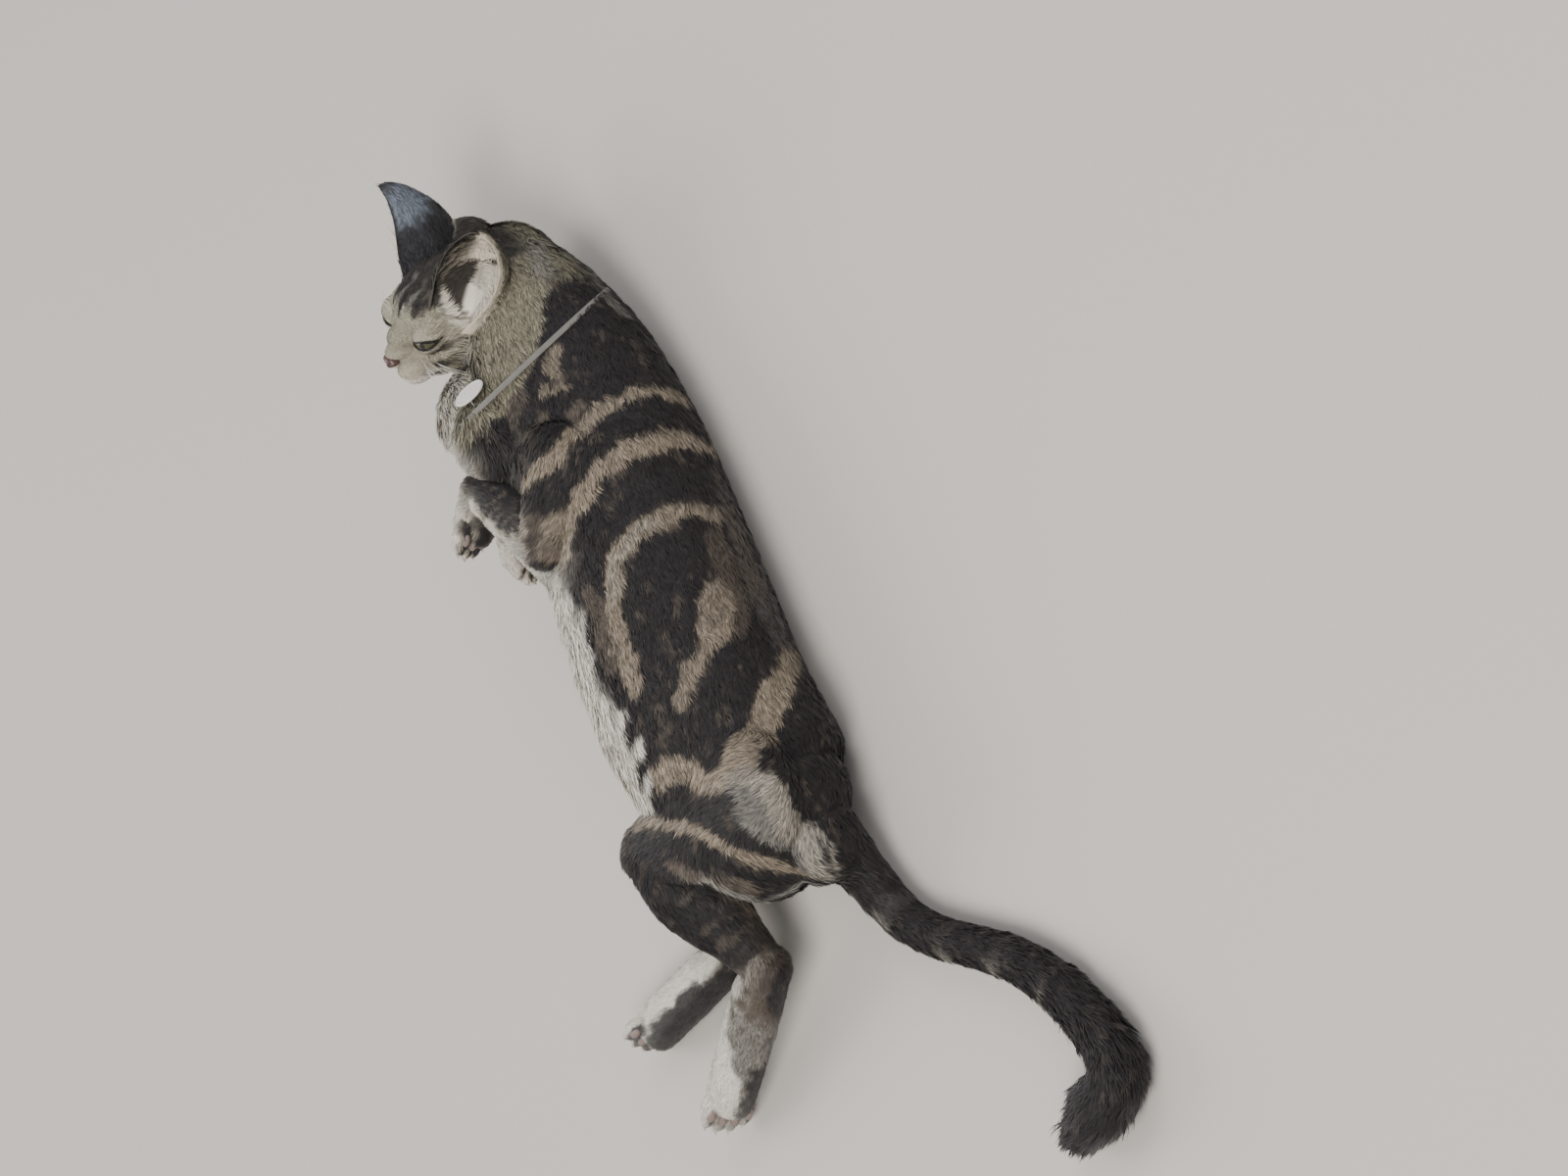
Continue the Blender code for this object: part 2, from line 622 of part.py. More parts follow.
def make_tag(neighbours, home):
    # A blank oval tag lying on the throat.
    graph = bpy.context.evaluated_depsgraph_get()
    wanted = Vector((0.2033, 0.0302, 0.1233))
    hits = [BVHTree.FromObject(other, graph).find_nearest(wanted) for other in neighbours]
    place, normal = min(hits, key=lambda hit: hit[3])[:2]
    frame = axes_matrix(normal, Vector((-0.12, 0.77, 0.63)), place + normal * (TAG_THICKNESS * 0.9 + 0.0012))
    shape = bmesh.new()
    bmesh.ops.create_cone(shape, cap_ends=True, segments=20, radius1=1, radius2=1, depth=1)
    fitted = frame @ Matrix.Rotation(math.pi / 2, 4, "Y") @ Matrix.Diagonal(
        (TAG_WIDTH / 2, TAG_LENGTH / 2, TAG_THICKNESS, 1))
    bmesh.ops.transform(shape, matrix=fitted, verts=shape.verts)
    tag = object_from(shape, "collar_tag", home)
    edge = tag.modifiers.new("Edge", "BEVEL")
    edge.width = TAG_THICKNESS * 0.25
    tag.data.materials.append(material("tag"))
    return keep_largest(applied(tag))


def stand_on_floor(nodes, cutters):
    # Small flats where the body rests, and the origin in the middle of the footprint.
    shape = bmesh.new()
    below = Matrix.Translation((0, 0, -0.5)) @ Matrix.Diagonal((2, 2, 1, 1))
    bmesh.ops.create_cube(shape, size=1.0, matrix=below)
    floor = object_from(shape, "floor_cut", cutters)
    for node in nodes:
        if min(vert.co.z for vert in node.data.vertices) < 0:
            combine(node, floor, "DIFFERENCE")
            keep_largest(node)
    bpy.data.objects.remove(floor, do_unlink=True)
    corners = [vert.co for node in nodes for vert in node.data.vertices]
    middle = [(min(c[k] for c in corners) + max(c[k] for c in corners)) / 2 for k in (0, 1)]
    for node in nodes:
        node.data.transform(Matrix.Translation((-middle[0], -middle[1], 0)))
        node.data.shade_smooth()
        node.data.set_sharp_from_angle(angle=math.radians(50))
    print("footprint middle", [round(value, 5) for value in middle])


def main():
    clear_scene()
    home = collection("cat")
    cutters = collection("cutters")

    eyes = [make_eye(side, home) for side in (1, -1)]
    nose = make_nose(home)
    head = make_head(home)
    for side in (1, -1):
        open_lids(head, side, cutters)
    for cutter in mouth_groove(head, cutters):
        combine(head, cutter, "DIFFERENCE")
        bpy.data.objects.remove(cutter, do_unlink=True)
    trim(head, nose, cutters)
    pierce_nostrils(nose, cutters)
    head.data.materials.append(material("tabby"))
    ears = [trim(make_ear(side, home), head, cutters) for side in (1, -1)]

    core = make_core(home)
    collar = make_collar(core, home)
    trim(core, head, cutters)
    for ear in ears:
        trim(core, ear, cutters)
    collar = trim(collar, head, cutters)

    legs = [left_hind_leg(home), right_hind_leg(home), foreleg("left", home), foreleg("right", home)]
    trim(legs[1][0], legs[0][0], cutters)
    trim(legs[3][0], legs[2][0], cutters)
    for whole, cuts, pieces in legs[2:]:
        trim(whole, head, cutters)
        trim(collar, whole, cutters)
    trim(core, collar, cutters)
    for whole, cuts, pieces in legs:
        trim(core, whole, cutters)
    tag = make_tag((head, core), home)

    nodes = [head, nose, collar, tag, *eyes, *ears]
    for whole, cuts, pieces in legs:
        nodes += part_by_discs(whole, cuts, pieces, home, cutters)
    cuts = (
        (Vector((0.178, 0.006, 0.054)), Vector((1, 0.1, 0.15)), 0.12),
        (Vector((0.055, 0, 0.055)), FORWARD, 0.12),
        (Vector((-0.065, 0, 0.055)), FORWARD, 0.12),
        (Vector((-0.216, -0.037, 0.019)), Vector((0.93, 0.37, 0.05)), 0.028),
        (Vector((-0.271, -0.087, 0.017)), Vector((0.63, 0.77, 0)), 0.026),
        (Vector((-0.335, -0.137, 0.018)), Vector((0.90, 0.42, 0)), 0.028),
    )
    pieces = (
        ("neck", "tabby", Vector((0.225, 0.02, 0.055))),
        ("torso_chest", "tabby", Vector((0.115, 0, 0.055))),
        ("torso_belly", "tabby", Vector((0.0, 0, 0.055))),
        ("torso_rump", "tabby", Vector((-0.125, 0, 0.055))),
        ("tail_base", "dark", Vector((-0.243, -0.055, 0.017))),
        ("tail_middle", "dark", Vector((-0.302, -0.115, 0.017))),
        ("tail_tip", "dark", Vector((-0.370, -0.135, 0.019))),
    )
    nodes += part_by_discs(core, cuts, pieces, home, cutters)
    stand_on_floor(nodes, cutters)
    for node in nodes:
        print(node.name, len(node.data.polygons))


main()
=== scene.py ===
import math

import bmesh
import bpy
import numpy as np
from mathutils import Matrix, Vector
from mathutils.bvhtree import BVHTree


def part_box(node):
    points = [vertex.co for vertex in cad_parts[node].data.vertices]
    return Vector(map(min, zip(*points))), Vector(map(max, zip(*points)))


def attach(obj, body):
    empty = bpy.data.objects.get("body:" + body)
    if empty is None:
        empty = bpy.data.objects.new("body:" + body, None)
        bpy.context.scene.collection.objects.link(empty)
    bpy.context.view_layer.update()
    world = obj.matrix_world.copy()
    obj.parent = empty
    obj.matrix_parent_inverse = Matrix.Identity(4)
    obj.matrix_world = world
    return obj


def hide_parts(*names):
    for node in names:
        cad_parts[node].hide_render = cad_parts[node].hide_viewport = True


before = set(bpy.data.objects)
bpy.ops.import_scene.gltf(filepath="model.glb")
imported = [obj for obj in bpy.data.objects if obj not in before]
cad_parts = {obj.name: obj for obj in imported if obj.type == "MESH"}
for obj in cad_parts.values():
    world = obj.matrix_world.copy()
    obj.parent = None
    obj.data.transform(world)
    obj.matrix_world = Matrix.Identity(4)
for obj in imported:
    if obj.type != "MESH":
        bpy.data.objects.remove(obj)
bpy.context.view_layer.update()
print("frame loaded")


# Small helpers

def unit(rows):
    return rows / np.maximum(np.linalg.norm(rows, axis=-1, keepdims=True), 1e-9)


def ease(low, high, value):
    t = np.clip((value - low) / (high - low), 0, 1)
    return t * t * (3 - 2 * t)


def flattened(rows, normals):
    # directions with the part that leaves the surface taken out
    return rows - normals * (rows * normals).sum(1)[:, None]


def ripple(places, size, seed, waves=14):
    # smooth noise in space, about -1 to 1, from sine waves roughly as long as size
    draw = np.random.default_rng(seed)
    heading = unit(draw.normal(size=(waves, 3)))
    heading = heading * (2 * np.pi / size * draw.uniform(0.6, 1.6, waves))[:, None]
    start = draw.uniform(0, 2 * np.pi, waves)
    return np.sin(places @ heading.T + start).sum(1) / math.sqrt(waves)


def fromPicture(red, green, blue):
    # a colour read from a screen, as the shader wants it
    return tuple((c / 12.92 if c < 0.04045 else ((c + 0.055) / 1.055) ** 2.4) for c in (red, green, blue))


def axesMatrix(first, second, place):
    x = Vector(first).normalized()
    z = x.cross(Vector(second)).normalized()
    return Matrix.Translation(place) @ Matrix((x, z.cross(x), z)).transposed().to_4x4()


def moved(matrix, rows):
    # a 4x4 matrix applied to rows of points
    m = np.array(matrix)
    return rows @ m[:3, :3].T + m[:3, 3]


def placed(name, data):
    made = bpy.data.objects.new(name, data)
    bpy.context.scene.collection.objects.link(made)
    return made


sideNames = {1: "left", -1: "right"}


# The body's forms, the same as the solids'

trunk = {
    "roll": math.radians(30), "height": 0.055, "width": 0.053, "depth": 0.067, "neck": 0.041,
    "coat": 0.0042,
}
dorsal = Vector((0, -math.cos(trunk["roll"]), -math.sin(trunk["roll"])))
leftward = Vector((0, -math.sin(trunk["roll"]), math.cos(trunk["roll"])))
upward = Vector((0, 0, 1))
wide, deep, neck = trunk["width"], trunk["depth"], trunk["neck"]
trunkStations = [
    (-0.164, -0.024, 0.045, wide * 0.58, deep * 0.52, deep * 0.44),
    (-0.147, -0.010, 0.052, wide * 0.88, deep * 0.85, deep * 0.80),
    (-0.115, 0.000, 0.055, wide * 0.98, deep * 1.06, deep * 0.94),
    (-0.060, 0.001, 0.056, wide * 1.04, deep * 1.02, deep * 1.08),
    (0.000, -0.002, 0.056, wide * 1.05, deep * 1.00, deep * 1.10),
    (0.060, -0.003, 0.055, wide * 1.03, deep * 1.00, deep * 1.04),
    (0.115, 0.000, 0.054, wide * 0.97, deep * 1.03, deep * 0.98),
    (0.165, 0.004, 0.053, wide * 0.90, deep * 1.00, deep * 0.96),
    (0.205, 0.008, 0.053, wide * 0.88, neck * 1.53, deep * 0.90),
    (0.245, 0.012, 0.052, neck * 1.12, neck * 1.27, neck * 1.20),
    (0.278, 0.019, 0.049, neck * 0.98, neck * 0.95, neck),
]
trunkBlobs = [
    ((0.172, 0.050, 0.000), (0.042, 0.044, 0.034)),
    ((0.199, 0.063, -0.010), (0.036, 0.036, 0.030)),
    ((0.100, -0.006, 0.018), (0.056, 0.054, 0.038)),
    ((-0.128, -0.020, 0.002), (0.045, 0.044, 0.044)),
]
tail = {"radius": 0.0168, "coat": 0.0042}
tailStations = [(*place, *[tail["radius"] * share] * 3) for *place, share in (
    (-0.135, -0.030, 0.0440, 1.43), (-0.177, -0.030, 0.0285, 1.20), (-0.203, -0.033, 0.0205, 1.06),
    (-0.228, -0.042, 0.0175, 1.00), (-0.248, -0.058, 0.0165, 0.97), (-0.267, -0.082, 0.0165, 0.97),
    (-0.289, -0.108, 0.0170, 1.00), (-0.316, -0.128, 0.0175, 1.04), (-0.342, -0.140, 0.0180, 1.07),
    (-0.361, -0.145, 0.0185, 1.11), (-0.377, -0.142, 0.0195, 1.17), (-0.387, -0.123, 0.0200, 1.20),
    (-0.393, -0.101, 0.0165, 0.90),
)]


def trunkPoint(x, ventral, lateral):
    return Vector((x, 0, trunk["height"])) - dorsal * ventral + leftward * lateral


leg = {"thigh": 0.036, "shank": 0.019, "foot": 0.0150, "arm": 0.0165,
       "coats": {"thigh": 0.0036, "shank": 0.0030, "foot": 0.0015, "toes": 0.0014},
       "lengths": {"thigh": 0.0074, "shank": 0.0062, "foot": 0.0048, "toes": 0.0040},
       "toes": [(-0.35 * abs(k - 1.5), (k - 1.5) * 0.62) for k in range(4)]}  # how far back and aside
legParts = ("thigh", "shank", "foot")
hindSizes, foreSizes = [leg[part] for part in legParts], [leg["arm"]] * 3
foreShares = [[(0, 1.9, 1.2, 1.2), (0.5, 1.5, 1.1, 1.1), (1, 1.15, 1.05, 1.05)],
              [(0, 1.15, 1.05, 1.05), (0.45, 1.15, 1, 1), (1, 0.90, 0.84, 0.84)],
              [(0, 0.90, 0.84, 0.84), (0.7, 0.98, 0.74, 0.74)]]


def limb(name, joints, ups, sizes, shares, sole, size):
    # three bones between four joints; each row of shares has a place along its bone and three radii
    rows = [[(*a.lerp(b, t), *[thick * share for share in radii]) for t, *radii in some]
            for a, b, thick, some in zip(joints, joints[1:], sizes, shares)]
    return {"name": name, "bones": list(zip(legParts, rows, ups)), "toe": joints[3],
            "along": joints[3] - joints[2], "sole": sole, "size": size}


def foreLeg(side, *points):
    joints = [trunkPoint(*point) for point in points]
    return limb("fore_" + side, joints, [leftward] * 3, foreSizes, foreShares, joints[0] - joints[3], 0.0122)


legs = [
    limb("hind_left", [trunkPoint(-0.126, -0.012, 0.034), Vector((-0.120, 0.064, 0.088)),
                       Vector((-0.2095, 0.0545, 0.0455)), Vector((-0.2630, 0.1670, 0.0190))],
         [leftward, leftward, upward], hindSizes,
         [[(0, 1.25, 0.75, 0.75), (0.5, 1.12, 0.72, 0.72), (1, 0.68, 0.58, 0.58)],
          [(0, 1.2, 1.05, 1.05), (0.35, 1.55, 1, 1), (0.75, 1.10, 0.8, 0.8), (1, 0.85, 0.7, 0.7)],
          [(0, 1.16, 1.10, 1.10), (0.35, 1.28, 1.14, 1.14), (0.85, 1.25, 0.98, 0.98)]],
         Vector((-0.8, -0.3, 0.3)), 0.0135),
    limb("hind_right", [trunkPoint(-0.125, 0.000, -0.018), Vector((-0.098, 0.086, 0.034)),
                        Vector((-0.1805, 0.1065, 0.0225)), Vector((-0.1880, 0.2090, 0.0160))],
         [upward] * 3, hindSizes,
         [[(0, 1.1, 0.70, 0.70), (0.5, 1.0, 0.70, 0.70), (1, 0.70, 0.60, 0.60)],
          [(0, 1.2, 1.0, 1.0), (0.35, 1.3, 1, 1), (1, 0.8, 0.7, 0.7)],
          [(0, 1.10, 1.1, 1.1), (0.35, 1.20, 1.10, 1.10), (0.85, 1.22, 0.92, 0.92)]],
         Vector((-0.85, 0, 0.52)), 0.0130),
    foreLeg("left", (0.128, 0.014, 0.036), (0.078, 0.048, 0.036), (0.146, 0.084, 0.000),
            (0.127, 0.109, -0.018)),
    foreLeg("right", (0.130, 0.018, -0.022), (0.074, 0.056, -0.026), (0.136, 0.084, -0.044),
            (0.107, 0.091, -0.052)),
]
head = {"scale": 1.08, "place": Vector((0.2745, 0.0465, 0.0815)), "forward": Vector((-0.295, 0.547, 0.780)),
        "left": Vector((-0.863, -0.499, 0.020)), "coat": 0.0017,
        "eyePlace": Vector((0.0275, 0.0172, 0.0035)), "eyeLook": Vector((0.84, 0.52, 0.14)),
        "eyeRadius": 0.0100}
headMatrix = axesMatrix(head["forward"], head["left"], head["place"]) @ Matrix.Scale(head["scale"], 4)
headBlobs = [
    ((-0.006, 0, 0.004), (0.041, 0.035, 0.032)), ((0.014, 0, 0.009), (0.024, 0.024, 0.021)),
    ((0.031, 0, 0.001), (0.018, 0.0115, 0.0115)), ((0.040, 0, -0.006), (0.0135, 0.0088, 0.0085)),
    ((0.014, 0, -0.018), (0.031, 0.024, 0.0205)), ((0.0345, 0, -0.0285), (0.0140, 0.0115, 0.0085)),
    ((-0.026, -0.013, 0.022), (0.021, 0.021, 0.0145)),
]
headPairs = [
    ((0.004, 0.020, -0.009), (0.031, 0.0190, 0.022)), ((0.040, 0.0078, -0.0170), (0.0125, 0.0098, 0.0082)),
    ((0.0175, 0.0150, 0.0115), (0.0145, 0.0115, 0.0090)), ((-0.012, 0.022, 0.012), (0.018, 0.014, 0.015)),
]


def eyeMatrix(side):
    place, look = head["eyePlace"].copy(), head["eyeLook"].copy()
    place.y *= side
    look.y *= side
    return headMatrix @ axesMatrix(look, (-head["eyeLook"].y, head["eyeLook"].x * side, 0.22), place)


# The solids' own left eye says where this frame lies in theirs.
eyeLow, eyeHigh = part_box("eye_left")
toSolids = (Vector(eyeLow) + Vector(eyeHigh)) / 2 - eyeMatrix(1).translation
print("trunk frame lies at", [round(c, 5) for c in toSolids])


# Mesh makers

def spline(stations, steps):
    rows, last = [], len(stations) - 1
    for i in range(last):
        a, b = stations[max(i - 1, 0)], stations[i]
        c, d = stations[i + 1], stations[min(i + 2, last)]
        for k in range(steps):
            t = k / steps
            rows.append([q + ((r - p) * t + (2 * p - 5 * q + 4 * r - s) * t * t
                              + (3 * q - 3 * r + s - p) * t ** 3) / 2 for p, q, r, s in zip(a, b, c, d)])
    rows.append(list(stations[-1]))
    return rows


def joinLoops(shape, loops):
    for below, above in zip(loops, loops[1:]):
        for face in zip(below, below[1:] + below[:1], above[1:] + above[:1], above):
            shape.faces.new(face)


def addTube(shape, stations, up, inset, steps=8, sides=40):
    rows = spline(stations, steps)
    centres = [Vector(row[:3]) for row in rows]
    rings = []
    for i, row in enumerate(rows):
        along = (centres[min(i + 1, len(rows) - 1)] - centres[max(i - 1, 0)]).normalized()
        side = up.cross(along).normalized()
        rings.append((centres[i], along, side, along.cross(side), [r - inset for r in row[3:]]))
    caps = []
    for end, sign in ((0, -1), (-1, 1)):
        centre, along, side, rise, radii = rings[end]
        reach = sum(radii) / 3
        caps.append([(centre + along * sign * reach * math.sin(turn), along, side, rise,
                      [r * math.cos(turn) for r in radii]) for turn in np.radians(np.arange(12, 85, 12))])
    rings = caps[0][::-1] + rings + caps[1]
    loops = []
    for centre, along, side, rise, (across, high, low) in rings:
        loop = []
        for turn in np.linspace(0, 2 * np.pi, sides, endpoint=False):
            lift = math.sin(turn)
            loop.append(shape.verts.new(centre + side * across * math.cos(turn)
                                        + rise * (high if lift > 0 else low) * lift))
        loops.append(loop)
    joinLoops(shape, loops)
    shape.faces.new(loops[0][::-1])
    shape.faces.new(loops[-1])


def addBlob(shape, matrix, place, radii, inset=0, rings=24):
    made = bmesh.ops.create_uvsphere(shape, u_segments=2 * rings, v_segments=rings, radius=1)
    fitted = matrix @ Matrix.Translation(place) @ Matrix.Diagonal((*[r - inset for r in radii], 1))
    bmesh.ops.transform(shape, matrix=fitted, verts=made["verts"])


def objectFrom(shape, name):
    bmesh.ops.recalc_face_normals(shape, faces=shape.faces)
    mesh = bpy.data.meshes.new(name)
    shape.to_mesh(mesh)
    shape.free()
    return placed(name, mesh)


def baked(made):
    # swaps the mesh for its evaluated one and drops the modifiers
    graph = bpy.context.evaluated_depsgraph_get()
    graph.update()
    fresh = bpy.data.meshes.new_from_object(made.evaluated_get(graph))
    old = made.data
    made.modifiers.clear()
    made.data = fresh
    bpy.data.meshes.remove(old)
    return made


def fused(shape, name, voxel, softening):
    made = objectFrom(shape, name)
    remesh = made.modifiers.new("fuse", "REMESH")
    remesh.mode, remesh.voxel_size = "VOXEL", voxel
    soften = made.modifiers.new("soften", "SMOOTH")
    soften.factor, soften.iterations = 0.5, softening
    return baked(made)


def combined(made, other, operation, solver="MANIFOLD"):
    cut = made.modifiers.new("combine", "BOOLEAN")
    cut.operation, cut.solver, cut.object = operation, solver, other
    baked(made)
    bpy.data.objects.remove(other, do_unlink=True)
    return made


def fetched(rows, name, width=3, kind=np.float32):
    got = np.empty(len(rows) * width, kind)
    rows.foreach_get(name, got)
    return got.reshape(-1, width)


def readMesh(made):
    mesh = made.data
    mesh.calc_loop_triangles()
    return {"places": fetched(mesh.vertices, "co").astype(float),
            "normals": fetched(mesh.vertex_normals, "vector").astype(float),
            "tris": fetched(mesh.loop_triangles, "vertices", kind=np.int32),
            "loops": fetched(mesh.loop_triangles, "loops", kind=np.int32)}


def writePlaces(made, places):
    made.data.vertices.foreach_set("co", places.astype(np.float32).ravel())
    made.data.update()


def giveColour(made, name, colours):
    layer = made.data.color_attributes.new(name, "FLOAT_COLOR", "POINT")
    rows = np.hstack([colours, np.ones((len(colours), 1))])
    layer.data.foreach_set("color", rows.astype(np.float32).ravel())


def giveFlat(mesh, rows):
    mesh.uv_layers.new(name="OFBake").uv.foreach_set("vector", rows.astype(np.float32).ravel())


def stripMesh(name, places, flats, shades, faces):
    # one object of many small strips with the same faces; for each strip rows of places, flats and shades
    some, rows = places.shape[:2]
    corner = np.concatenate([np.arange(some)[:, None] * rows + np.array(face) for face in faces], 1)
    sizes = np.tile([len(face) for face in faces], some)
    mesh = bpy.data.meshes.new(name)
    mesh.vertices.add(some * rows)
    mesh.vertices.foreach_set("co", places.astype(np.float32).ravel())
    mesh.loops.add(corner.size)
    mesh.loops.foreach_set("vertex_index", corner.astype(np.int32).ravel())
    mesh.polygons.add(len(sizes))
    mesh.polygons.foreach_set("loop_start", np.concatenate([[0], np.cumsum(sizes)[:-1]]).astype(np.int32))
    mesh.update(calc_edges=True)
    mesh.shade_smooth()
    giveFlat(mesh, flats.reshape(-1, 2)[corner.ravel()])
    made = placed(name, mesh)
    giveColour(made, "coatColour", shades.reshape(-1, 3))
    return made


# Bones: where each part of the body runs, which way its coat lies and how long it is

def bone(name, rows, length, group):
    # rows are stations, each a place and its radii; the reserve makes a bone count as that much further off
    return {"name": name, "points": np.array([row[:3] for row in rows], float),
            "radii": np.array([np.mean(row[3:]) for row in rows]), "length": length, "group": group,
            "reserve": 0.004 if "right_thigh" in name or "right_shank" in name else 0}


headAxis = [(*(headMatrix @ Vector(place)), radius) for place, radius in (
    ((0.040, 0, -0.012), 0.0125), ((0.026, 0, -0.008), 0.0215), ((0.006, 0, -0.002), 0.0335),
    ((-0.020, 0, 0.004), 0.031))]
bones = [
    bone("head", headAxis, 0.0052, "head"),
    bone("neck", trunkStations[:-4:-1], 0.0072, "trunk"),
    bone("trunk", trunkStations[-3::-1], 0.0078, "trunk"),
    bone("tail", tailStations, 0.0082, "tail"),
]
for one in legs:
    reach = one["along"].normalized() * one["size"]
    toes = ("toes", [(*(one["toe"] + reach * way), one["size"]) for way in (-1, 1)], upward)
    bones += [bone(one["name"] + "_" + part, rows, leg["lengths"][part], one["name"])
              for part, rows, up in (*one["bones"], toes)]
boneNames = [b["name"] for b in bones]
onTrunk = [b["group"] == "trunk" for b in bones]
boneBlend = 0.0045  # how softly the coat of one bone passes into the next


def nearBones(places):
    # for each bone: closeness as a share of one, how far along it, and its heading there
    gaps, alongs, headings = [], [], []
    for b in bones:
        points, radii = b["points"], b["radii"]
        steps = points[1:] - points[:-1]
        spans = np.linalg.norm(steps, axis=1)
        best = np.full(len(places), np.inf)
        along, heading = np.zeros(len(places)), np.zeros((len(places), 3))
        done = 0
        for k, (start, step, span) in enumerate(zip(points, steps, spans)):
            t = np.clip((places - start) @ step / span ** 2, 0, 1)
            offset = places - start - t[:, None] * step
            gap = np.linalg.norm(offset, axis=1)
            radius = radii[k] + (radii[k + 1] - radii[k]) * t
            if b["name"] == "trunk":
                size = radius / radii.max()
                down, aside = offset @ np.array(dorsal) / deep, offset @ np.array(leftward) / wide
                ahead = offset @ (step / span) / deep
                radius = gap * size / np.maximum(np.sqrt(down ** 2 + aside ** 2 + ahead ** 2), 1e-6)
            gap = gap - radius
            nearer = gap < best
            best[nearer] = gap[nearer]
            along[nearer] = (done + t[nearer] * span) / spans.sum()
            heading[nearer] = step / span
            done += span
        gaps.append(best)
        alongs.append(along)
        headings.append(heading)
    gaps = np.array(gaps)
    gaps += np.array([b["reserve"] for b in bones])[:, None]
    share = np.exp(-(gaps - gaps.min(0)) / boneBlend)
    return share / share.sum(0), np.array(alongs), np.array(headings)


# Markings. Strokes over the flank have millimetres along the trunk, degrees round it from the spine, and half
# widths in millimetres. Strokes on the head have millimetres forward, out to the side and up.

tones = {name: np.array(fromPicture(*rgb)) for name, rgb in {
    "tan": (0.60, 0.545, 0.475), "dark": (0.135, 0.115, 0.12), "smoke": (0.30, 0.275, 0.265),
    "mottle": (0.42, 0.375, 0.33), "grey": (0.55, 0.53, 0.50), "ash": (0.67, 0.64, 0.59),
    "cream": (0.84, 0.80, 0.72), "white": (0.93, 0.905, 0.86), "face": (0.72, 0.695, 0.61),
    "olive": (0.56, 0.535, 0.455), "earBack": (0.50, 0.53, 0.58), "earSkin": (0.72, 0.56, 0.50),
    "lid": (0.10, 0.08, 0.08), "earHair": (0.95, 0.92, 0.86), "shadow": (0.12, 0.09, 0.09),
}.items()}
flankStrokes = [
    # tone, strength, points
    ("smoke", 0.9, (75, 8, 9), (30, 10, 12), (-15, 14, 13), (-50, 10, 8)),
    ("mottle", 0.5, (38, 30, 5), (15, 34, 8), (-10, 34, 9), (-28, 40, 7)),
    ("mottle", 0.6, (38, 128, 6), (12, 128, 7), (-14, 129, 6)),
    ("mottle", 0.4, (-66, 108, 4), (-72, 118, 4)),
    ("mottle", 0.45, (55, 12, 5), (20, 14, 7), (-10, 16, 6)),
    ("mottle", 0.7, (108, 146, 6), (90, 135, 7), (70, 134, 5)),
    ("dark", 1, (120, 0, 3.5), (40, 0, 3.5), (-40, 0, 3.5), (-150, 0, 4)),
    ("tan", 0.8, (194, 74, 4.5), (186, 84, 5), (180, 82, 4)),
    ("tan", 0.8, (169, 82, 5), (171, 97, 4.5)),
    ("mottle", 0.7, (152, 77, 4), (146, 84, 4)),
    ("mottle", 0.8, (157, 108, 5), (150, 119, 5)),
    ("mottle", 0.7, (142, 139, 5), (136, 143, 4)),
    ("mottle", 0.5, (178, 122, 6), (172, 132, 6)),
    ("tan", 1, (136, 4, 4), (141, 20, 5), (145, 37, 5), (141, 58, 5), (134, 83, 5), (123, 107, 5),
     (119, 134, 5)),
    ("tan", 1, (97, 2, 5), (104, 22, 6.5), (106, 48, 7.5), (103, 74, 7), (96, 98, 7), (82, 122, 7),
     (68, 133, 7)),
    ("tan", 0.9, (48, 27, 4), (55, 42, 6), (56, 61, 7), (54, 82, 7), (41, 101, 7), (19, 112, 6.5),
     (-5, 117, 6.5), (-31, 119, 8)),
    ("ash", 0.6, (56, 66, 2), (54, 82, 3.5), (41, 101, 3.5), (22, 111, 2.5)),
    ("tan", 0.75, (-2, 48, 10), (-20, 52, 12)),
    ("tan", 0.8, (-30, 59, 5.5), (-43, 76, 5.5), (-55, 92, 6)),
    ("tan", 1, (-48, 6, 5), (-60, 20, 7.5), (-75, 35, 8.5), (-97, 56, 9), (-118, 76, 9.5), (-112, 97, 8.5),
     (-94, 112, 7.5), (-89, 131, 7)),
    ("mottle", 0.8, (-114, 110, 4), (-120, 106, 4)),
    ("tan", 0.95, (-100, 176, 3.5), (-112, 150, 3.5), (-127, 131, 4), (-145, 122, 4.5), (-166, 132, 5),
     (-183, 124, 6)),
    ("mottle", 0.9, (-143, 160, 5), (-155, 164, 8), (-168, 160, 8)),
    ("grey", 0.7, (-128, 74, 11), (-150, 84, 14), (-170, 92, 15), (-186, 114, 12)),
    ("ash", 0.95, (-130, 64, 6), (-146, 68, 9), (-160, 76, 9), (-172, 90, 9), (-184, 106, 8)),
    ("ash", 0.7, (-161, 62, 3), (-175, 66, 3), (-190, 78, 4)),
    ("grey", 0.7, (246, 12, 6), (228, 15, 5), (206, 13, 3.5)),
    ("dark", 0.9, (-99, 154, 6), (-109, 133, 7), (-118, 118, 7), (-128, 102, 6), (-136, 89, 4)),
]
neckStrokes = [
    ("grey", 0.7, (275, 45, 10), (256, 52, 10)),
    ("smoke", 0.9, (290, 0, 14), (266, 8, 14), (248, 8, 9)),
    ("smoke", 0.45, (250, 42, 5), (238, 52, 5)),
    ("dark", 0.9, (290, -14, 9), (262, -10, 9), (235, -6, 6)),
]
neckEdge = {"turn": (0, 19, 47, 65, 77, 99, 118, 150, 180),
            "x": (0.249, 0.245, 0.238, 0.231, 0.212, 0.190, 0.184, 0.176, 0.170)}
flankRadius = 0.057
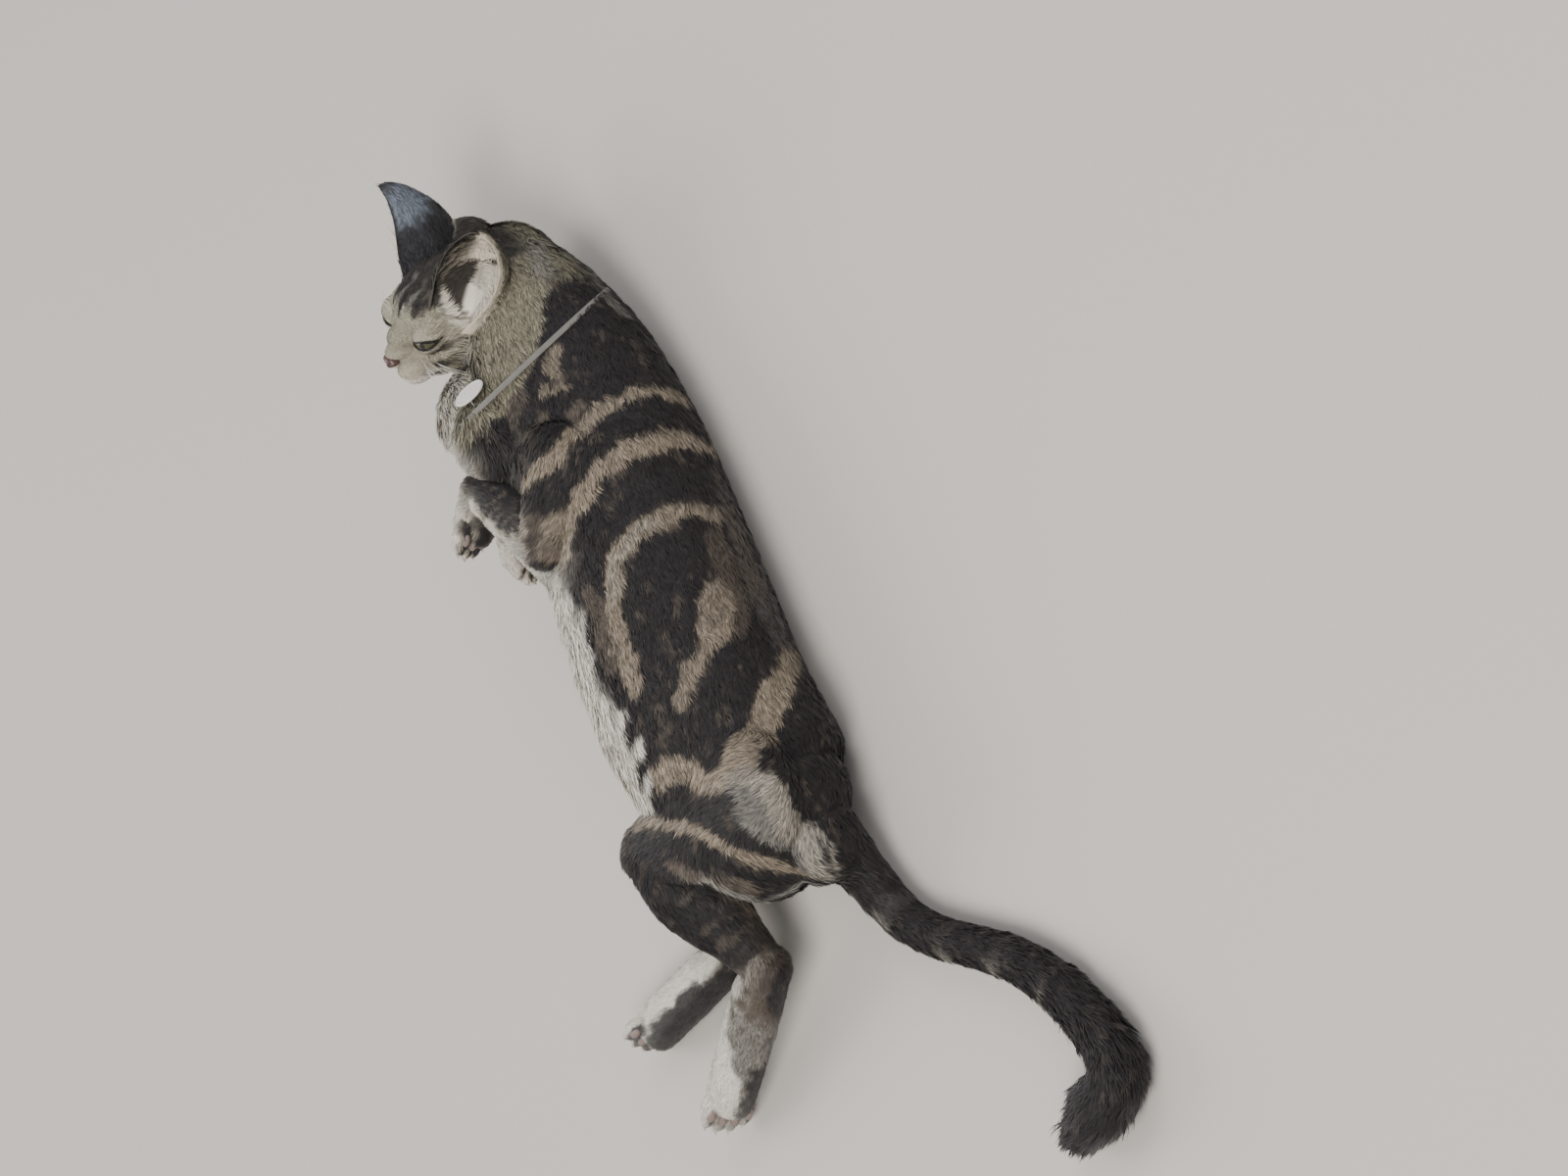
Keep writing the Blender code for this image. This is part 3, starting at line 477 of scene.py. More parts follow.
bellyEdge = {"x": (-0.16, -0.10, -0.062, -0.022, 0.044, 0.067, 0.10, 0.13, 0.15, 0.17, 0.20, 0.24),
             "turn": (168, 150, 136, 143, 141, 139, 150, 164, 170, 170, 160, 150)}
cheekLines = ((29, 44, -11), (21, 56, 1), (12, 67, 12)), ((36, 50, -16), (28, 60, -8), (20, 70, 4))


def chart(places):
    # along the trunk, and round it from the spine: 90 is the middle of the left flank, 180 the belly
    x, rows = places[:, 0], np.array([row[:3] for row in trunkStations])
    middle = [x, *(np.interp(x, rows[:, 0], rows[:, axis]) for axis in (1, 2))]
    offset = places - np.stack(middle, 1)
    return x, np.degrees(np.arctan2(offset @ np.array(leftward), offset @ np.array(dorsal)))


def alongLine(places, a, b):
    # how far along each point lies between two ends, from 0 to 1
    step = b - a
    return np.clip((places - a) @ step / max(step @ step, 1e-12), 0, 1)[:, None]


def gapTo(places, line):
    return np.min([np.linalg.norm(places - a - alongLine(places, a, b) * (b - a), axis=1)
                   for a, b in zip(line, line[1:])], 0)


def strokeGap(flat, points):
    # signed distance to a stroke whose points carry a half width
    gap = np.full(len(flat), np.inf)
    for a, b in zip(points, points[1:]):
        t = alongLine(flat, a[:2], b[:2])
        near = np.linalg.norm(flat - a[:2] - t * (b - a)[:2], axis=1)
        gap = np.minimum(gap, near - (a[2] + (b[2] - a[2]) * t[:, 0]))
    return gap


def plainCoat(tone, places):
    return np.tile(tones[tone], (len(places), 1))


def paintInto(colours, tone, share):
    colours += (tones[tone] - colours) * np.broadcast_to(share, len(colours))[:, None]


def paintStrokes(colours, flat, wander, strokes, limit=1):
    for tone, strength, *points in strokes:
        rows = np.array([(along / 1000, math.radians(turned) * flankRadius, half / 1000)
                         for along, turned, half in points])
        paintInto(colours, tone, limit * strength * ease(0.0018, -0.0018, strokeGap(flat, rows) + wander))


def paintFlank(places, belly):
    x, turn = chart(places)
    wander = (ripple(places, 0.030, 5) * 0.0016 + ripple(places, 0.009, 6) * 0.0012
              + ripple(places, 0.003, 4) * 0.0010)
    around = np.abs(turn)
    # the right side's markings are the left one's, shifted a little
    shift = np.where(turn < 0, 0.007 * ripple(places, 0.08, 7), 0)
    flat = np.stack([x + shift, np.radians(around) * flankRadius], 1)
    colours = plainCoat("dark", places)
    speckle = ripple(places, 0.016, 9) * 0.7 + ripple(places, 0.006, 10) * 0.5
    paintInto(colours, "mottle", 0.45 * ease(0.6, 1.4, speckle))
    paintStrokes(colours, flat, wander, flankStrokes)
    throat = ease(-0.003, 0.003, x - np.interp(around, neckEdge["turn"], neckEdge["x"]) + wander * 1.5)
    paintInto(colours, "olive", throat)
    paintInto(colours, "mottle", 0.55 * throat * ease(0.3, 1.2, speckle))
    paintStrokes(colours, flat, wander, neckStrokes, throat)
    f, l, u = headMillimetres(places)
    crown = ease(23, 29, u + wander * 1000) * ease(-52, -42, f) * ease(34, 27, np.abs(l))
    paintInto(colours, "dark", 0.85 * crown)
    for line in cheekLines:
        gap = foldedGap(places, line, 0.4) + wander * 500
        paintInto(colours, "dark", 0.85 * throat * ease(3.0, 1.4, gap))
    edge = np.interp(x, bellyEdge["x"], bellyEdge["turn"])
    pale = ease(-5, 7, around - edge + ripple(places, 0.02, 8) * 6) * belly
    pale = pale * (1 - 0.6 * ease(-0.12, -0.15, x))
    paintInto(colours, "white", pale * (1 - 0.55 * ease(0.17, 0.21, x)))
    return colours


def headPlaces(places):
    return moved(headMatrix.inverted(), places)


def headMillimetres(places):
    # forward, out to the left and up
    return (headPlaces(places) * 1000).T


def foldedHead(places):
    # the head's own measures with its right side laid over the left
    spots = headPlaces(places)
    spots[:, 1] = np.abs(spots[:, 1])
    return spots


def foldedGap(places, line, sideways=1):
    # distance in millimetres to a line given forward, out and up, on both sides of the head
    weights = np.array((1, sideways, 1))
    return gapTo(foldedHead(places) * 1000 * weights, np.array(line, float) * weights)


headStrokes = [
    # tone, strength, half width, weight of the distance sideways, points
    ("mottle", 0.6, 0.9, 1, (22, 11, 26), (12, 12, 31), (2, 13, 34)),
    ("mottle", 0.5, 0.9, 1, (10, 2, 34), (-4, 3, 37), (-18, 4, 36)),
    ("dark", 1, 1.6, 1, (28, 0, 27), (32, 0, 22), (37, 0, 16)),
    ("grey", 0.9, 1.5, 1, (36, 5, 18), (31, 5.5, 23), (24, 5.5, 28), (16, 5.5, 31)),
    ("dark", 0.9, 1.5, 1, (27, 10, 23), (31, 11, 18)),
    ("dark", 0.95, 1.7, 0.4, (33, 25, 0), (25, 33, 1), (14, 40, 6)),
    ("dark", 0.95, 1.9, 0.4, (34, 26, -12), (25, 34, -8), (15, 40, -3), (4, 46, 2)),
    ("dark", 0.8, 1.4, 0.4, (38, 20, -19), (31, 28, -17), (24, 33, -15)),
    ("cream", 0.8, 2.6, 1, (40, 14, -6), (35, 22, -7)),
    ("cream", 0.6, 2.2, 1, (37, 11, 10), (32, 20, 11)),
]


def paintHead(places):
    f, l, u = headMillimetres(places)
    out = np.abs(l)
    colours = plainCoat("face", places)
    wander = ripple(places, 0.012, 11)
    crown = ease(17, 22, u + wander * 1.5) * ease(33, 29, f + wander) * ease(32, 25, out)
    paintInto(colours, "dark", 0.95 * crown)
    paintInto(colours, "mottle", 0.35 * crown * ease(0.5, 1.4, ripple(places, 0.007, 12)))
    for tone, strength, half, sideways, *points in headStrokes:
        gap = foldedGap(places, points, sideways) - half - 0.6 + wander * 0.5
        paintInto(colours, tone, strength * ease(1.0, -1.0, gap))
    muzzle = ease(33, 41, f) * ease(0, -6, u - 0.10 * (45 - f))
    paintInto(colours, "cream", 0.8 * muzzle)
    paintInto(colours, "white", 0.75 * ease(-15, -21, u) * ease(8, 22, f))
    nape = ease(-12, -26, f) * ease(-10, 8, u)
    paintInto(colours, "grey", 0.6 * nape * ease(34, 24, u))
    rim = lidGap(places) * 1000
    paintInto(colours, "cream", 0.55 * ease(4.6, 2.4, rim) * ease(-2, 3, u + 40 - f))
    paintInto(colours, "lid", ease(1.6, 0.9, rim))
    front = ease(18, 24, f)
    folded = np.stack([out, u], 1)
    lipGap = np.minimum(gapTo(folded, lips[:, 1:] * 1000), gapTo(folded, philtrum[:, 1:] * 1000))
    paintInto(colours, "lid", 0.9 * ease(1.3, 0.5, lipGap) * front)
    return colours


def paintTail(places, along, normals):
    colours = plainCoat("dark", places)
    under = ease(0.0, 0.7, normals @ unit(np.array([0.15, 0.9, 0.1])))
    speckle = ease(0.5, 1.4, ripple(places, 0.012, 22))
    paintInto(colours, "mottle", 0.25 * speckle)
    for middle, half in ((0.26, 0.030), (0.40, 0.024), (0.53, 0.018), (0.65, 0.014)):
        ring = ease(half, half * 0.3, np.abs(along - middle) + ripple(places, 0.02, 21) * 0.006)
        paintInto(colours, "smoke", 0.5 * ring)
        paintInto(colours, "ash", 0.8 * ring * under)
    paintInto(colours, "ash", 0.7 * ease(0.24, 0.12, along) * ease(0.3, 0.9, under))
    return colours


legSides = {
    # the ways that the pale and the dark side of each leg face; then, for a hind leg, where the pale and the
    # dark fur of its foot start, and for a foreleg where the pale fur of arm and paw starts
    "hind_left": ((0.38, 0.59, 0.71), (-0.75, -0.60, -0.20), -0.1, 0.58),
    "hind_right": ((0.50, 0.30, 0.65), (-0.97, -0.05, 0.22), 0.15, 0.16),
    "fore_left": ((0.08, 0.72, 0.69), (-0.34, -0.63, 0.70), 0.70, 0.35),
    "fore_right": ((0.08, 0.72, 0.69), (-0.60, -0.60, 0.30), 0.1, -0.3),
}


def paintLeg(places, normals, one, part, along):
    toPale, toDark = (normals @ unit(np.array(way)) for way in legSides[one["name"]][:2])
    toSole = normals @ np.array(one["sole"].normalized())
    noisy = ripple(places, 0.012, 31) * 0.10
    colours = plainCoat("dark", places)
    speckle = ease(0.3, 1.3, ripple(places, 0.010, 32))
    paintInto(colours, "mottle", (0.8 if one["name"].startswith("fore") else 0.5) * speckle)
    if one["name"].startswith("fore"):
        start = legSides[one["name"]][2 if part == "shank" else 3]
        start = start - 0.25 * ease(0.3, 0.05, along) * (part == "shank") - 0.3 * (part == "toes")
        paintInto(colours, "cream", ease(start, start + 0.25, toPale + noisy))
        paintInto(colours, "white", 0.7 * ease(start + 0.15, start + 0.40, toPale + noisy))
        paintInto(colours, "white", 0.7 * ease(-0.2, -0.7, toDark + noisy))
        return colours
    if part == "shank":
        calf = ease(0.0, 0.5, normals @ np.array((0.86, -0.51, -0.04)) + noisy)
        paintInto(colours, "mottle", 0.85 * calf * ease(0.9, 0.6, along))
        paintInto(colours, "ash", 0.8 * ease(0.80, 0.95, along + noisy * 0.4) * ease(0.4, 0.1, toDark))
        paintInto(colours, "cream", 0.9 * ease(0.5, 0.9, normals @ np.array((0.1, 0.3, -0.95))))
        return colours
    paleStart, darkStart = legSides[one["name"]][2:]
    if part == "toes":
        paintInto(colours, "white", 1)
        paintInto(colours, "grey", 0.6 * ease(0.4, 0.9, toSole + noisy))
        paintInto(colours, "dark", 0.7 * ease(darkStart + 0.15, darkStart + 0.45, toDark + noisy))
        return colours
    paintInto(colours, "mottle", 0.75)
    paintInto(colours, "grey", 0.9 * ease(0.12, 0.40, along + noisy))
    if one["name"] == "hind_left":
        paleStart = paleStart + 0.8 * ease(0.80, 0.45, along)
        darkStart = darkStart + 0.35 * ease(0.12, 0.30, along) * ease(0.70, 0.50, along)
    else:
        darkStart = darkStart + 0.35 * ease(0.30, 0.10, along)
    paintInto(colours, "white", ease(paleStart, paleStart + 0.35, toPale + noisy))
    paintInto(colours, "dark", 0.95 * ease(darkStart, darkStart + 0.28, toDark + noisy))
    return colours


def paintAt(places, normals, share, alongs):
    colours = np.zeros((len(places), 3))
    trunkShare = share[onTrunk].sum(0)
    flank = paintFlank(places, ease(0.25, 0.75, trunkShare))
    for k, b in enumerate(bones):
        weight = share[k][:, None]
        if b["group"] == "head":
            colours += paintHead(places) * weight
        elif b["group"] == "trunk":
            colours += flank * weight
        elif b["group"] == "tail":
            colours += paintTail(places, alongs[k], normals) * weight
        else:
            one = next(item for item in legs if item["name"] == b["group"])
            part = b["name"].rsplit("_", 1)[1]
            if part == "thigh":
                inner = normals @ np.array(leftward) * (-1 if "left" in b["name"] else 1)
                shade = flank.copy()
                paintInto(shade, "white", 0.9 * ease(0.6, 0.9, inner) * ("hind" in b["name"]))
                colours += shade * weight
            else:
                colours += paintLeg(places, normals, one, part, alongs[k]) * weight
    f, l = headMillimetres(places)[:2]
    for side in sideNames:
        inner = ease(1.12, 0.98, inside(places, earCup(side), (0.004, 0.001, 0), (0.030, 0.0184, 0.0184)))
        paintInto(colours, "earHair", inner)
        paintInto(colours, "shadow", inner * ease(23.5, 20.5, l * side - 0.5 * f) * ease(12, 8, f) * 0.95)
    return colours


# Shaders

class Wire:
    # a shader value; Python arithmetic on it adds Math nodes
    def __init__(self, look, socket):
        self.look, self.socket = look, socket

    def math(self, operation, first, second):
        return self.look.node("Math", {"operation": operation}, {0: first, 1: second})

    def __add__(self, other):
        return self.math("ADD", self, other)

    def __radd__(self, other):
        return self.math("ADD", other, self)

    def __sub__(self, other):
        return self.math("SUBTRACT", self, other)

    def __rsub__(self, other):
        return self.math("SUBTRACT", other, self)

    def __mul__(self, other):
        return self.math("MULTIPLY", self, other)

    def __rmul__(self, other):
        return self.math("MULTIPLY", other, self)


class Look:
    # a material built round one Principled shader
    def __init__(self, name, **fixed):
        self.material = bpy.data.materials.new(name)
        self.material.use_nodes = True
        self.tree = self.material.node_tree
        self.shader = self.tree.nodes["Principled BSDF"]
        for key, value in fixed.items():
            self.shader.inputs[key.replace("_", " ")].default_value = value

    def join(self, value, socket):
        if isinstance(value, Wire):
            self.tree.links.new(value.socket, socket)
        else:
            socket.default_value = value

    def node(self, kind, settings=None, values=None, out=0):
        made = self.tree.nodes.new("ShaderNode" + kind)
        for key, value in (settings or {}).items():
            if key == "stops":
                while len(made.color_ramp.elements) < len(value):
                    made.color_ramp.elements.new(0.5)
                for stop, (place, colour) in zip(made.color_ramp.elements, value):
                    stop.position, stop.color = place, (*colour, 1)
            else:
                setattr(made, key, value)
        for key, value in (values or {}).items():
            self.join(value, made.inputs[key])
        return Wire(self, made.outputs[out])

    def attribute(self, name):
        return self.node("Attribute", {"attribute_name": name})

    def noise(self, scale, detail=3, roughness=0.6):
        where = self.node("TexCoord", out=3)
        return self.node("TexNoise", None, {"Vector": where, "Scale": scale, "Detail": detail,
                                            "Roughness": roughness})

    def blend(self, share, first, second, blend="MIX"):
        return self.node("Mix", {"data_type": "RGBA", "blend_type": blend},
                         {0: share, 6: first, 7: second}, out=2)

    def grey(self, share, low, high):
        return self.blend(share, (low, low, low, 1), (high, high, high, 1))

    def tones(self, share, first, second):
        return self.blend(share, (*fromPicture(*first), 1), (*fromPicture(*second), 1))

    def feed(self, **wires):
        for key, wire in wires.items():
            self.join(wire, self.shader.inputs[key.replace("_", " ")])
        return self

    def bump(self, height, strength, distance):
        bumped = self.node("Bump", None, {"Height": height, "Strength": strength, "Distance": distance})
        return self.feed(Normal=bumped)


def coatLook():
    look = Look("coat", Specular_IOR_Level=0.35, Sheen_Weight=0.12, Sheen_Roughness=0.5)
    grain = look.noise(900, 2)
    shade = look.blend(0.35, look.attribute("coatColour"), look.grey(grain, 0.55, 1.3), "MULTIPLY")
    return look.feed(Base_Color=shade, Roughness=0.45 + grain * 0.3).material


def skinLook():
    look = Look("skin", Specular_IOR_Level=0.25)
    hairs = look.noise(1400, 3, 0.7)
    look.feed(Base_Color=look.attribute("coatColour"), Roughness=0.6 + hairs * 0.3)
    return look.bump(hairs, 0.6, 0.0006).material


def settle(made, material, slotName, *nodes):
    # moves a piece from the trunk's frame to the solids', gives it its finish and fixes it to the body
    made.data.transform(Matrix.Translation(toSolids))
    made.data.materials.clear()
    made.data.materials.append(material)
    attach(made, "root")
    if nodes:
        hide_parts(*nodes)
    return made


ear = {"height": 0.050, "base": 0.0200, "root": 0.24, "thick": 0.0015, "rows": 44, "columns": 61,
       "furTufts": 7000, "innerTufts": 3000, "hairs": 240, "bowl": 0.0085,
       "taper": (0.62, 0.06, 0.25), "wrap": (132, 62), "folds": (0.0007, 9), "lean": 0.35, "flare": 0.0012,
       # root, way up and way that the opening faces, in the head's frame
       "poses": {1: ((-0.0019, 0.0256, 0.0220), (-0.38, 0.26, 0.84), (0.84, 0.36, 0.30)),
                 -1: ((-0.0065, -0.0268, 0.0239), (0.02, -0.30, 0.95), (0.80, -0.60, 0.0))}}


def earCup(side):
    # the ear's own axes: up the ear, towards its back, and across it
    root, rise, opening = map(Vector, ear["poses"][side])
    return headMatrix @ axesMatrix(rise, -opening, root)


def footMatrix(one):
    return axesMatrix(one["along"], one["sole"], one["toe"])


def onFoot(one, spots):
    # places and radii given as shares of the foot's size
    return [[[c * one["size"] for c in row] for row in spot] for spot in spots]


def pads(one):
    # toe pads and the large pad behind them, in the foot's own frame
    return onFoot(one, [((back, 0.44, aside), (0.42, 0.25, 0.23)) for back, aside in leg["toes"]]
                  + [((-1.0, 0.50, 0), (0.56, 0.32, 0.58))])


collar = {"place": Vector((0.214, 0.016, 0.058)), "normal": Vector((0.86, -0.02, 0.51)), "width": 0.0036,
          "thick": 0.0012, "steps": 160, "rounds": 160, "sink": 0.0041, "tag": (0.0115, 0.0080, 0.0009),
          "ring": (0.0027, 0.00042),
          "section": [(-0.5, 0.10), (-0.47, -0.25), (0.47, -0.25), (0.5, 0.10), (0.47, 0.42), (0.30, 0.5),
                      (-0.30, 0.5), (-0.47, 0.42)],
          "tagProfile": [(0.0, 1.05), (0.35, 1.0), (0.70, 0.85), (0.84, 0.75), (0.89, 1.0), (0.95, 1.15),
                         (0.99, 0.8), (1.0, 0.0)]}
bareSpots = [(footMatrix(one), place, radii) for one in legs for place, radii in pads(one)]
bareSpots.append((headMatrix, (0.0500, 0, -0.0100), (0.0050, 0.0062, 0.0046)))
bareSpots += [(earCup(side), (-0.002, 0.001, 0), (0.018, 0.0085, 0.0085)) for side in sideNames]


# The skin

skinSettings = {"body": (0.0021, 8), "leg": (0.0016, 4), "head": (0.00095, 16),  # voxel size, softening
                "floor": 0.0016, "lidGap": 0.0003, "slit": (0.0090, 0.0025), "lowerLid": 0.9,
                "mouth": (0.0017, 0.0011), "groove": (0.0012, 0.0008)}  # depth, half width


def bodyShape():
    shape = bmesh.new()
    addTube(shape, trunkStations, dorsal, trunk["coat"])
    body = axesMatrix((1, 0, 0), -dorsal, (0, 0, trunk["height"]))
    for place, radii in trunkBlobs:
        addBlob(shape, body, place, radii, trunk["coat"])
    addTube(shape, tailStations, upward, tail["coat"], steps=6, sides=28)
    return shape


def legShape(one):
    shape, coats = bmesh.new(), leg["coats"]
    for part, rows, up in one["bones"]:
        addTube(shape, rows, up, coats[part], sides=32)
    for place, radii in onFoot(one, [((back, 0.05, aside), (1.15, 0.62, 0.44)) for back, aside in leg["toes"]]
                               + [((-1.0, 0.10, 0), (1.0, 0.58, 0.95))]):
        addBlob(shape, footMatrix(one), place, radii, coats["toes"], 14)
    return shape


def headShape():
    shape = bmesh.new()
    inset = head["coat"] / head["scale"]
    for place, radii in headBlobs:
        addBlob(shape, headMatrix, place, radii, inset)
    for side in sideNames:
        for (x, y, z), radii in headPairs:
            addBlob(shape, headMatrix, (x, y * side, z), radii, inset)
        addBlob(shape, eyeMatrix(side), (-0.0008, 0, 0), (0.0124, 0.0124, 0.0122), inset * 0.7)
    return shape


lips = np.array([(0.050, 0.0, -0.0165), (0.0490, 0.0006, -0.0205), (0.0465, 0.005, -0.0245),
                 (0.041, 0.0105, -0.0262), (0.034, 0.0145, -0.0258), (0.026, 0.0185, -0.0235)])
philtrum = np.array([(0.0515, 0, -0.0125), (0.0510, 0, -0.0165)])


def lidGap(places):
    # how far a point lies outside the nearer opening between the lids, in metres
    (halfWidth, halfHeight), lower = skinSettings["slit"], skinSettings["lowerLid"]
    nearest = np.full(len(places), 1.0)
    for side in sideNames:
        local = moved(eyeMatrix(side).inverted(), places)
        t = np.linspace(-1, 1, 41)
        rise = halfHeight * np.maximum(1 - t * t, 0) ** 0.8
        outline = np.concatenate([np.stack([t * halfWidth, rise * share], 1) for share in (1, -lower)])
        close = (np.abs(local[:, 0] - 0.006) < 0.016) & (np.linalg.norm(local[:, 1:], axis=1) < 0.03)
        gap = np.full(len(places), 1.0)
        if close.any():
            flat = local[close][:, 1:]
            reach = np.linalg.norm(flat[:, None] - outline[None], axis=2).min(1)
            across = np.clip(np.abs(flat[:, 0]) / halfWidth, 0, 1)
            limit = halfHeight * (1 - across ** 2) ** 0.8 * np.where(flat[:, 1] > 0, 1, lower)
            gap[close] = np.where(np.abs(flat[:, 1]) < limit, 0, reach)
        nearest = np.minimum(nearest, gap * head["scale"])
    return nearest


def hollowEars(made):
    # the head sinks into a bowl inside each ear
    mesh = readMesh(made)
    places = mesh["places"]
    for side in sideNames:
        local = moved(earCup(side).inverted(), places)
        across = np.linalg.norm(local[:, 1:] - np.array([0.001, 0]), axis=1) / (ear["base"] * 0.95)
        deep = ear["bowl"] * np.maximum(1 - across ** 2, 0) ** 1.3 * (local[:, 0] > -0.012)
        local[:, 0] -= deep
        places = moved(earCup(side), local)
    writePlaces(made, places)


def carveFace(made):
    # the line of the mouth and the groove under the nose, pressed into the head
    mesh = readMesh(made)
    spots = foldedHead(mesh["places"])
    depth = np.zeros(len(spots))
    for line, name in ((lips, "mouth"), (philtrum, "groove")):
        deepest, half = skinSettings[name]
        gap = gapTo(spots[:, 1:], line[:, 1:])
        depth = np.maximum(depth, deepest * np.exp(-(gap / half) ** 2) * ease(0.018, 0.026, spots[:, 0]))
    writePlaces(made, mesh["places"] - mesh["normals"] * depth[:, None])


def almond(side):
    # a prism with a pointed oval section, for the opening between the lids
    shape, points = bmesh.new(), 14
    halfWidth, halfHeight = skinSettings["slit"]
    outline = []
    for k in range(2 * points):
        t = k / points - 1 if k < points else 1 - (k - points) / points
        rise = halfHeight * (1 - t * t) ** 0.8
        outline.append((t * halfWidth, rise if k < points else -rise * skinSettings["lowerLid"]))
    front, back = ([shape.verts.new(eyeMatrix(side) @ Vector((x, y, z))) for y, z in outline]
                   for x in (0.02, -0.002))
    shape.faces.new(front)
    shape.faces.new(back[::-1])
    for face in zip(front[1:] + front[:1], front, back, back[1:] + back[:1]):
        shape.faces.new(face)
    return objectFrom(shape, "slit")


def makeSkin():
    skin = fused(bodyShape(), "skin", *skinSettings["body"])
    for one in legs:
        skin = combined(skin, fused(legShape(one), "limb", *skinSettings["leg"]), "UNION")
    face = fused(headShape(), "face", *skinSettings["head"])
    carveFace(face)
    radius = head["eyeRadius"] + skinSettings["lidGap"]
    for side in sideNames:
        ball = bmesh.new()
        addBlob(ball, eyeMatrix(side), (0, 0, 0), (radius,) * 3, rings=32)
        face = combined(face, objectFrom(ball, "socket"), "DIFFERENCE")
        face = combined(face, almond(side), "DIFFERENCE")
    skin = combined(skin, face, "UNION")
    skin.name = "skin"
    hollowEars(skin)
    mesh = readMesh(skin)
    places = mesh["places"]
    places[:, 2] = np.maximum(places[:, 2], skinSettings["floor"])
    writePlaces(skin, places)
    skin.data.shade_smooth()
    return skin


skin = makeSkin()
print("skin", len(skin.data.vertices), "vertices")


def unwrap(made):
    bpy.ops.object.select_all(action="DESELECT")
    made.select_set(True)
    bpy.context.view_layer.objects.active = made
    while made.data.uv_layers:
        made.data.uv_layers.remove(made.data.uv_layers[0])
    made.data.uv_layers.new(name="OFBake")
    bpy.ops.object.mode_set(mode="EDIT")
    bpy.ops.mesh.select_all(action="SELECT")
    bpy.ops.uv.smart_project(angle_limit=math.radians(66), island_margin=0.002)
    bpy.ops.object.mode_set(mode="OBJECT")
    return fetched(made.data.uv_layers["OFBake"].uv, "vector", 2)


skinFlat = unwrap(skin)
print("skin unwrapped")


# The coat

coatSettings = {
    "tufts": 430000, "quickShare": 0.3, "pieceTufts": 60000, "combing": 45, "sections": (0.0, 0.5, 1.0),
    "patch": 0.003, "swirls": ((0.22, 0.016), (0.14, 0.006)), "stray": 0.13, "tilt": 0.35,
    "lengths": (0.75, 1.2), "lifts": (0.6, 1.4), "liftSwell": (0.35, 0.010), "widths": (0.8, 1.25),
    "width": (0.00034, 0.060), "sunk": 0.0004, "lowest": 0.0004, "greyHairs": (0.50, 0.20),
    # what the belly, the face and the tail add to length and lift
    "grows": (0.8, -0.62, 0.5), "lift": 0.25, "rises": (0.15, -0.04, 0.30),
    "crowding": (0.0105, 1.25), "contrast": (0.12, 0.16), "brightness": (0.45, 1.5),
    "shades": (0.62, 0.45), "shine": ((0.30, 0.4, 0.5), (0.35, 0, 0.6)),
}
nose = np.array(headMatrix @ Vector((0.052, 0, -0.006)))


def groundOf(made, flat):
    # the skin with the lie, length and lift of the coat at each of its points
    mesh = readMesh(made)
    places, normals = mesh["places"], mesh["normals"]
    share, alongs, headings = nearBones(places)
    headBone, tailBone = boneNames.index("head"), boneNames.index("tail")
    lie = np.einsum("kn,knc->nc", share, headings)
    lie += (unit(places - nose) - lie) * share[headBone][:, None]
    ends = np.concatenate([mesh["tris"][:, pair] for pair in ([0, 1], [1, 2], [2, 0])])
    for _ in range(coatSettings["combing"]):
        lie = unit(flattened(lie, normals))
        lie = lie + np.stack([np.bincount(ends[:, 0], column[ends[:, 1]], len(lie)) for column in lie.T], 1)
    x, turn = chart(places)
    trunkShare = share[onTrunk].sum(0)
    fluff = trunkShare * ease(125, 160, np.abs(turn)) * ease(-0.17, -0.13, x)
    muzzle = share[headBone] * ease(14, 40, headMillimetres(places)[0])
    tailShare = share[tailBone] * ease(0.45, 1.0, alongs[tailBone])
    length = sum(share[k] * b["length"] for k, b in enumerate(bones))
    for grow, where in zip(coatSettings["grows"], (fluff, muzzle, tailShare)):
        length = length * (1 + grow * where)
    rises = zip(coatSettings["rises"], (fluff, share[headBone], tailShare))
    mesh.update(lie=unit(flattened(lie, normals)), length=length, flat=flat, share=share, alongs=alongs,
                lift=coatSettings["lift"] + sum(rise * where for rise, where in rises))
    return mesh


def inside(places, matrix, place, radii):
    # below one inside the ball, whatever its three radii
    local = moved(matrix.inverted(), places) - np.array(place)
    return np.linalg.norm(local / np.array(radii), axis=1)


def density(ground):
    # more and smaller tufts where the coat is short, none on bare skin or where the body presses on the floor
    places = ground["places"]
    usual, power = coatSettings["crowding"]
    crowd = (usual / ground["length"]) ** power
    crowd *= ease(skinSettings["floor"] + 0.0002, skinSettings["floor"] + 0.0012, places[:, 2])
    for spot in bareSpots:
        crowd *= ease(0.92, 1.04, inside(places, *spot))
    spots = foldedHead(places)
    for line in (lips, philtrum):
        crowd *= np.where(spots[:, 0] > 0.018, ease(0.0003, 0.0010, gapTo(spots[:, 1:], line[:, 1:])), 1)
    crowd *= ease(0.0002, 0.0012, lidGap(places))
    fromStrap = np.abs((places - np.array(collar["place"])) @ unit(np.array(collar["normal"])))
    crowd *= 0.3 + 0.7 * ease(collar["width"] * 0.30, collar["width"] * 0.48, fromStrap)
    return crowd


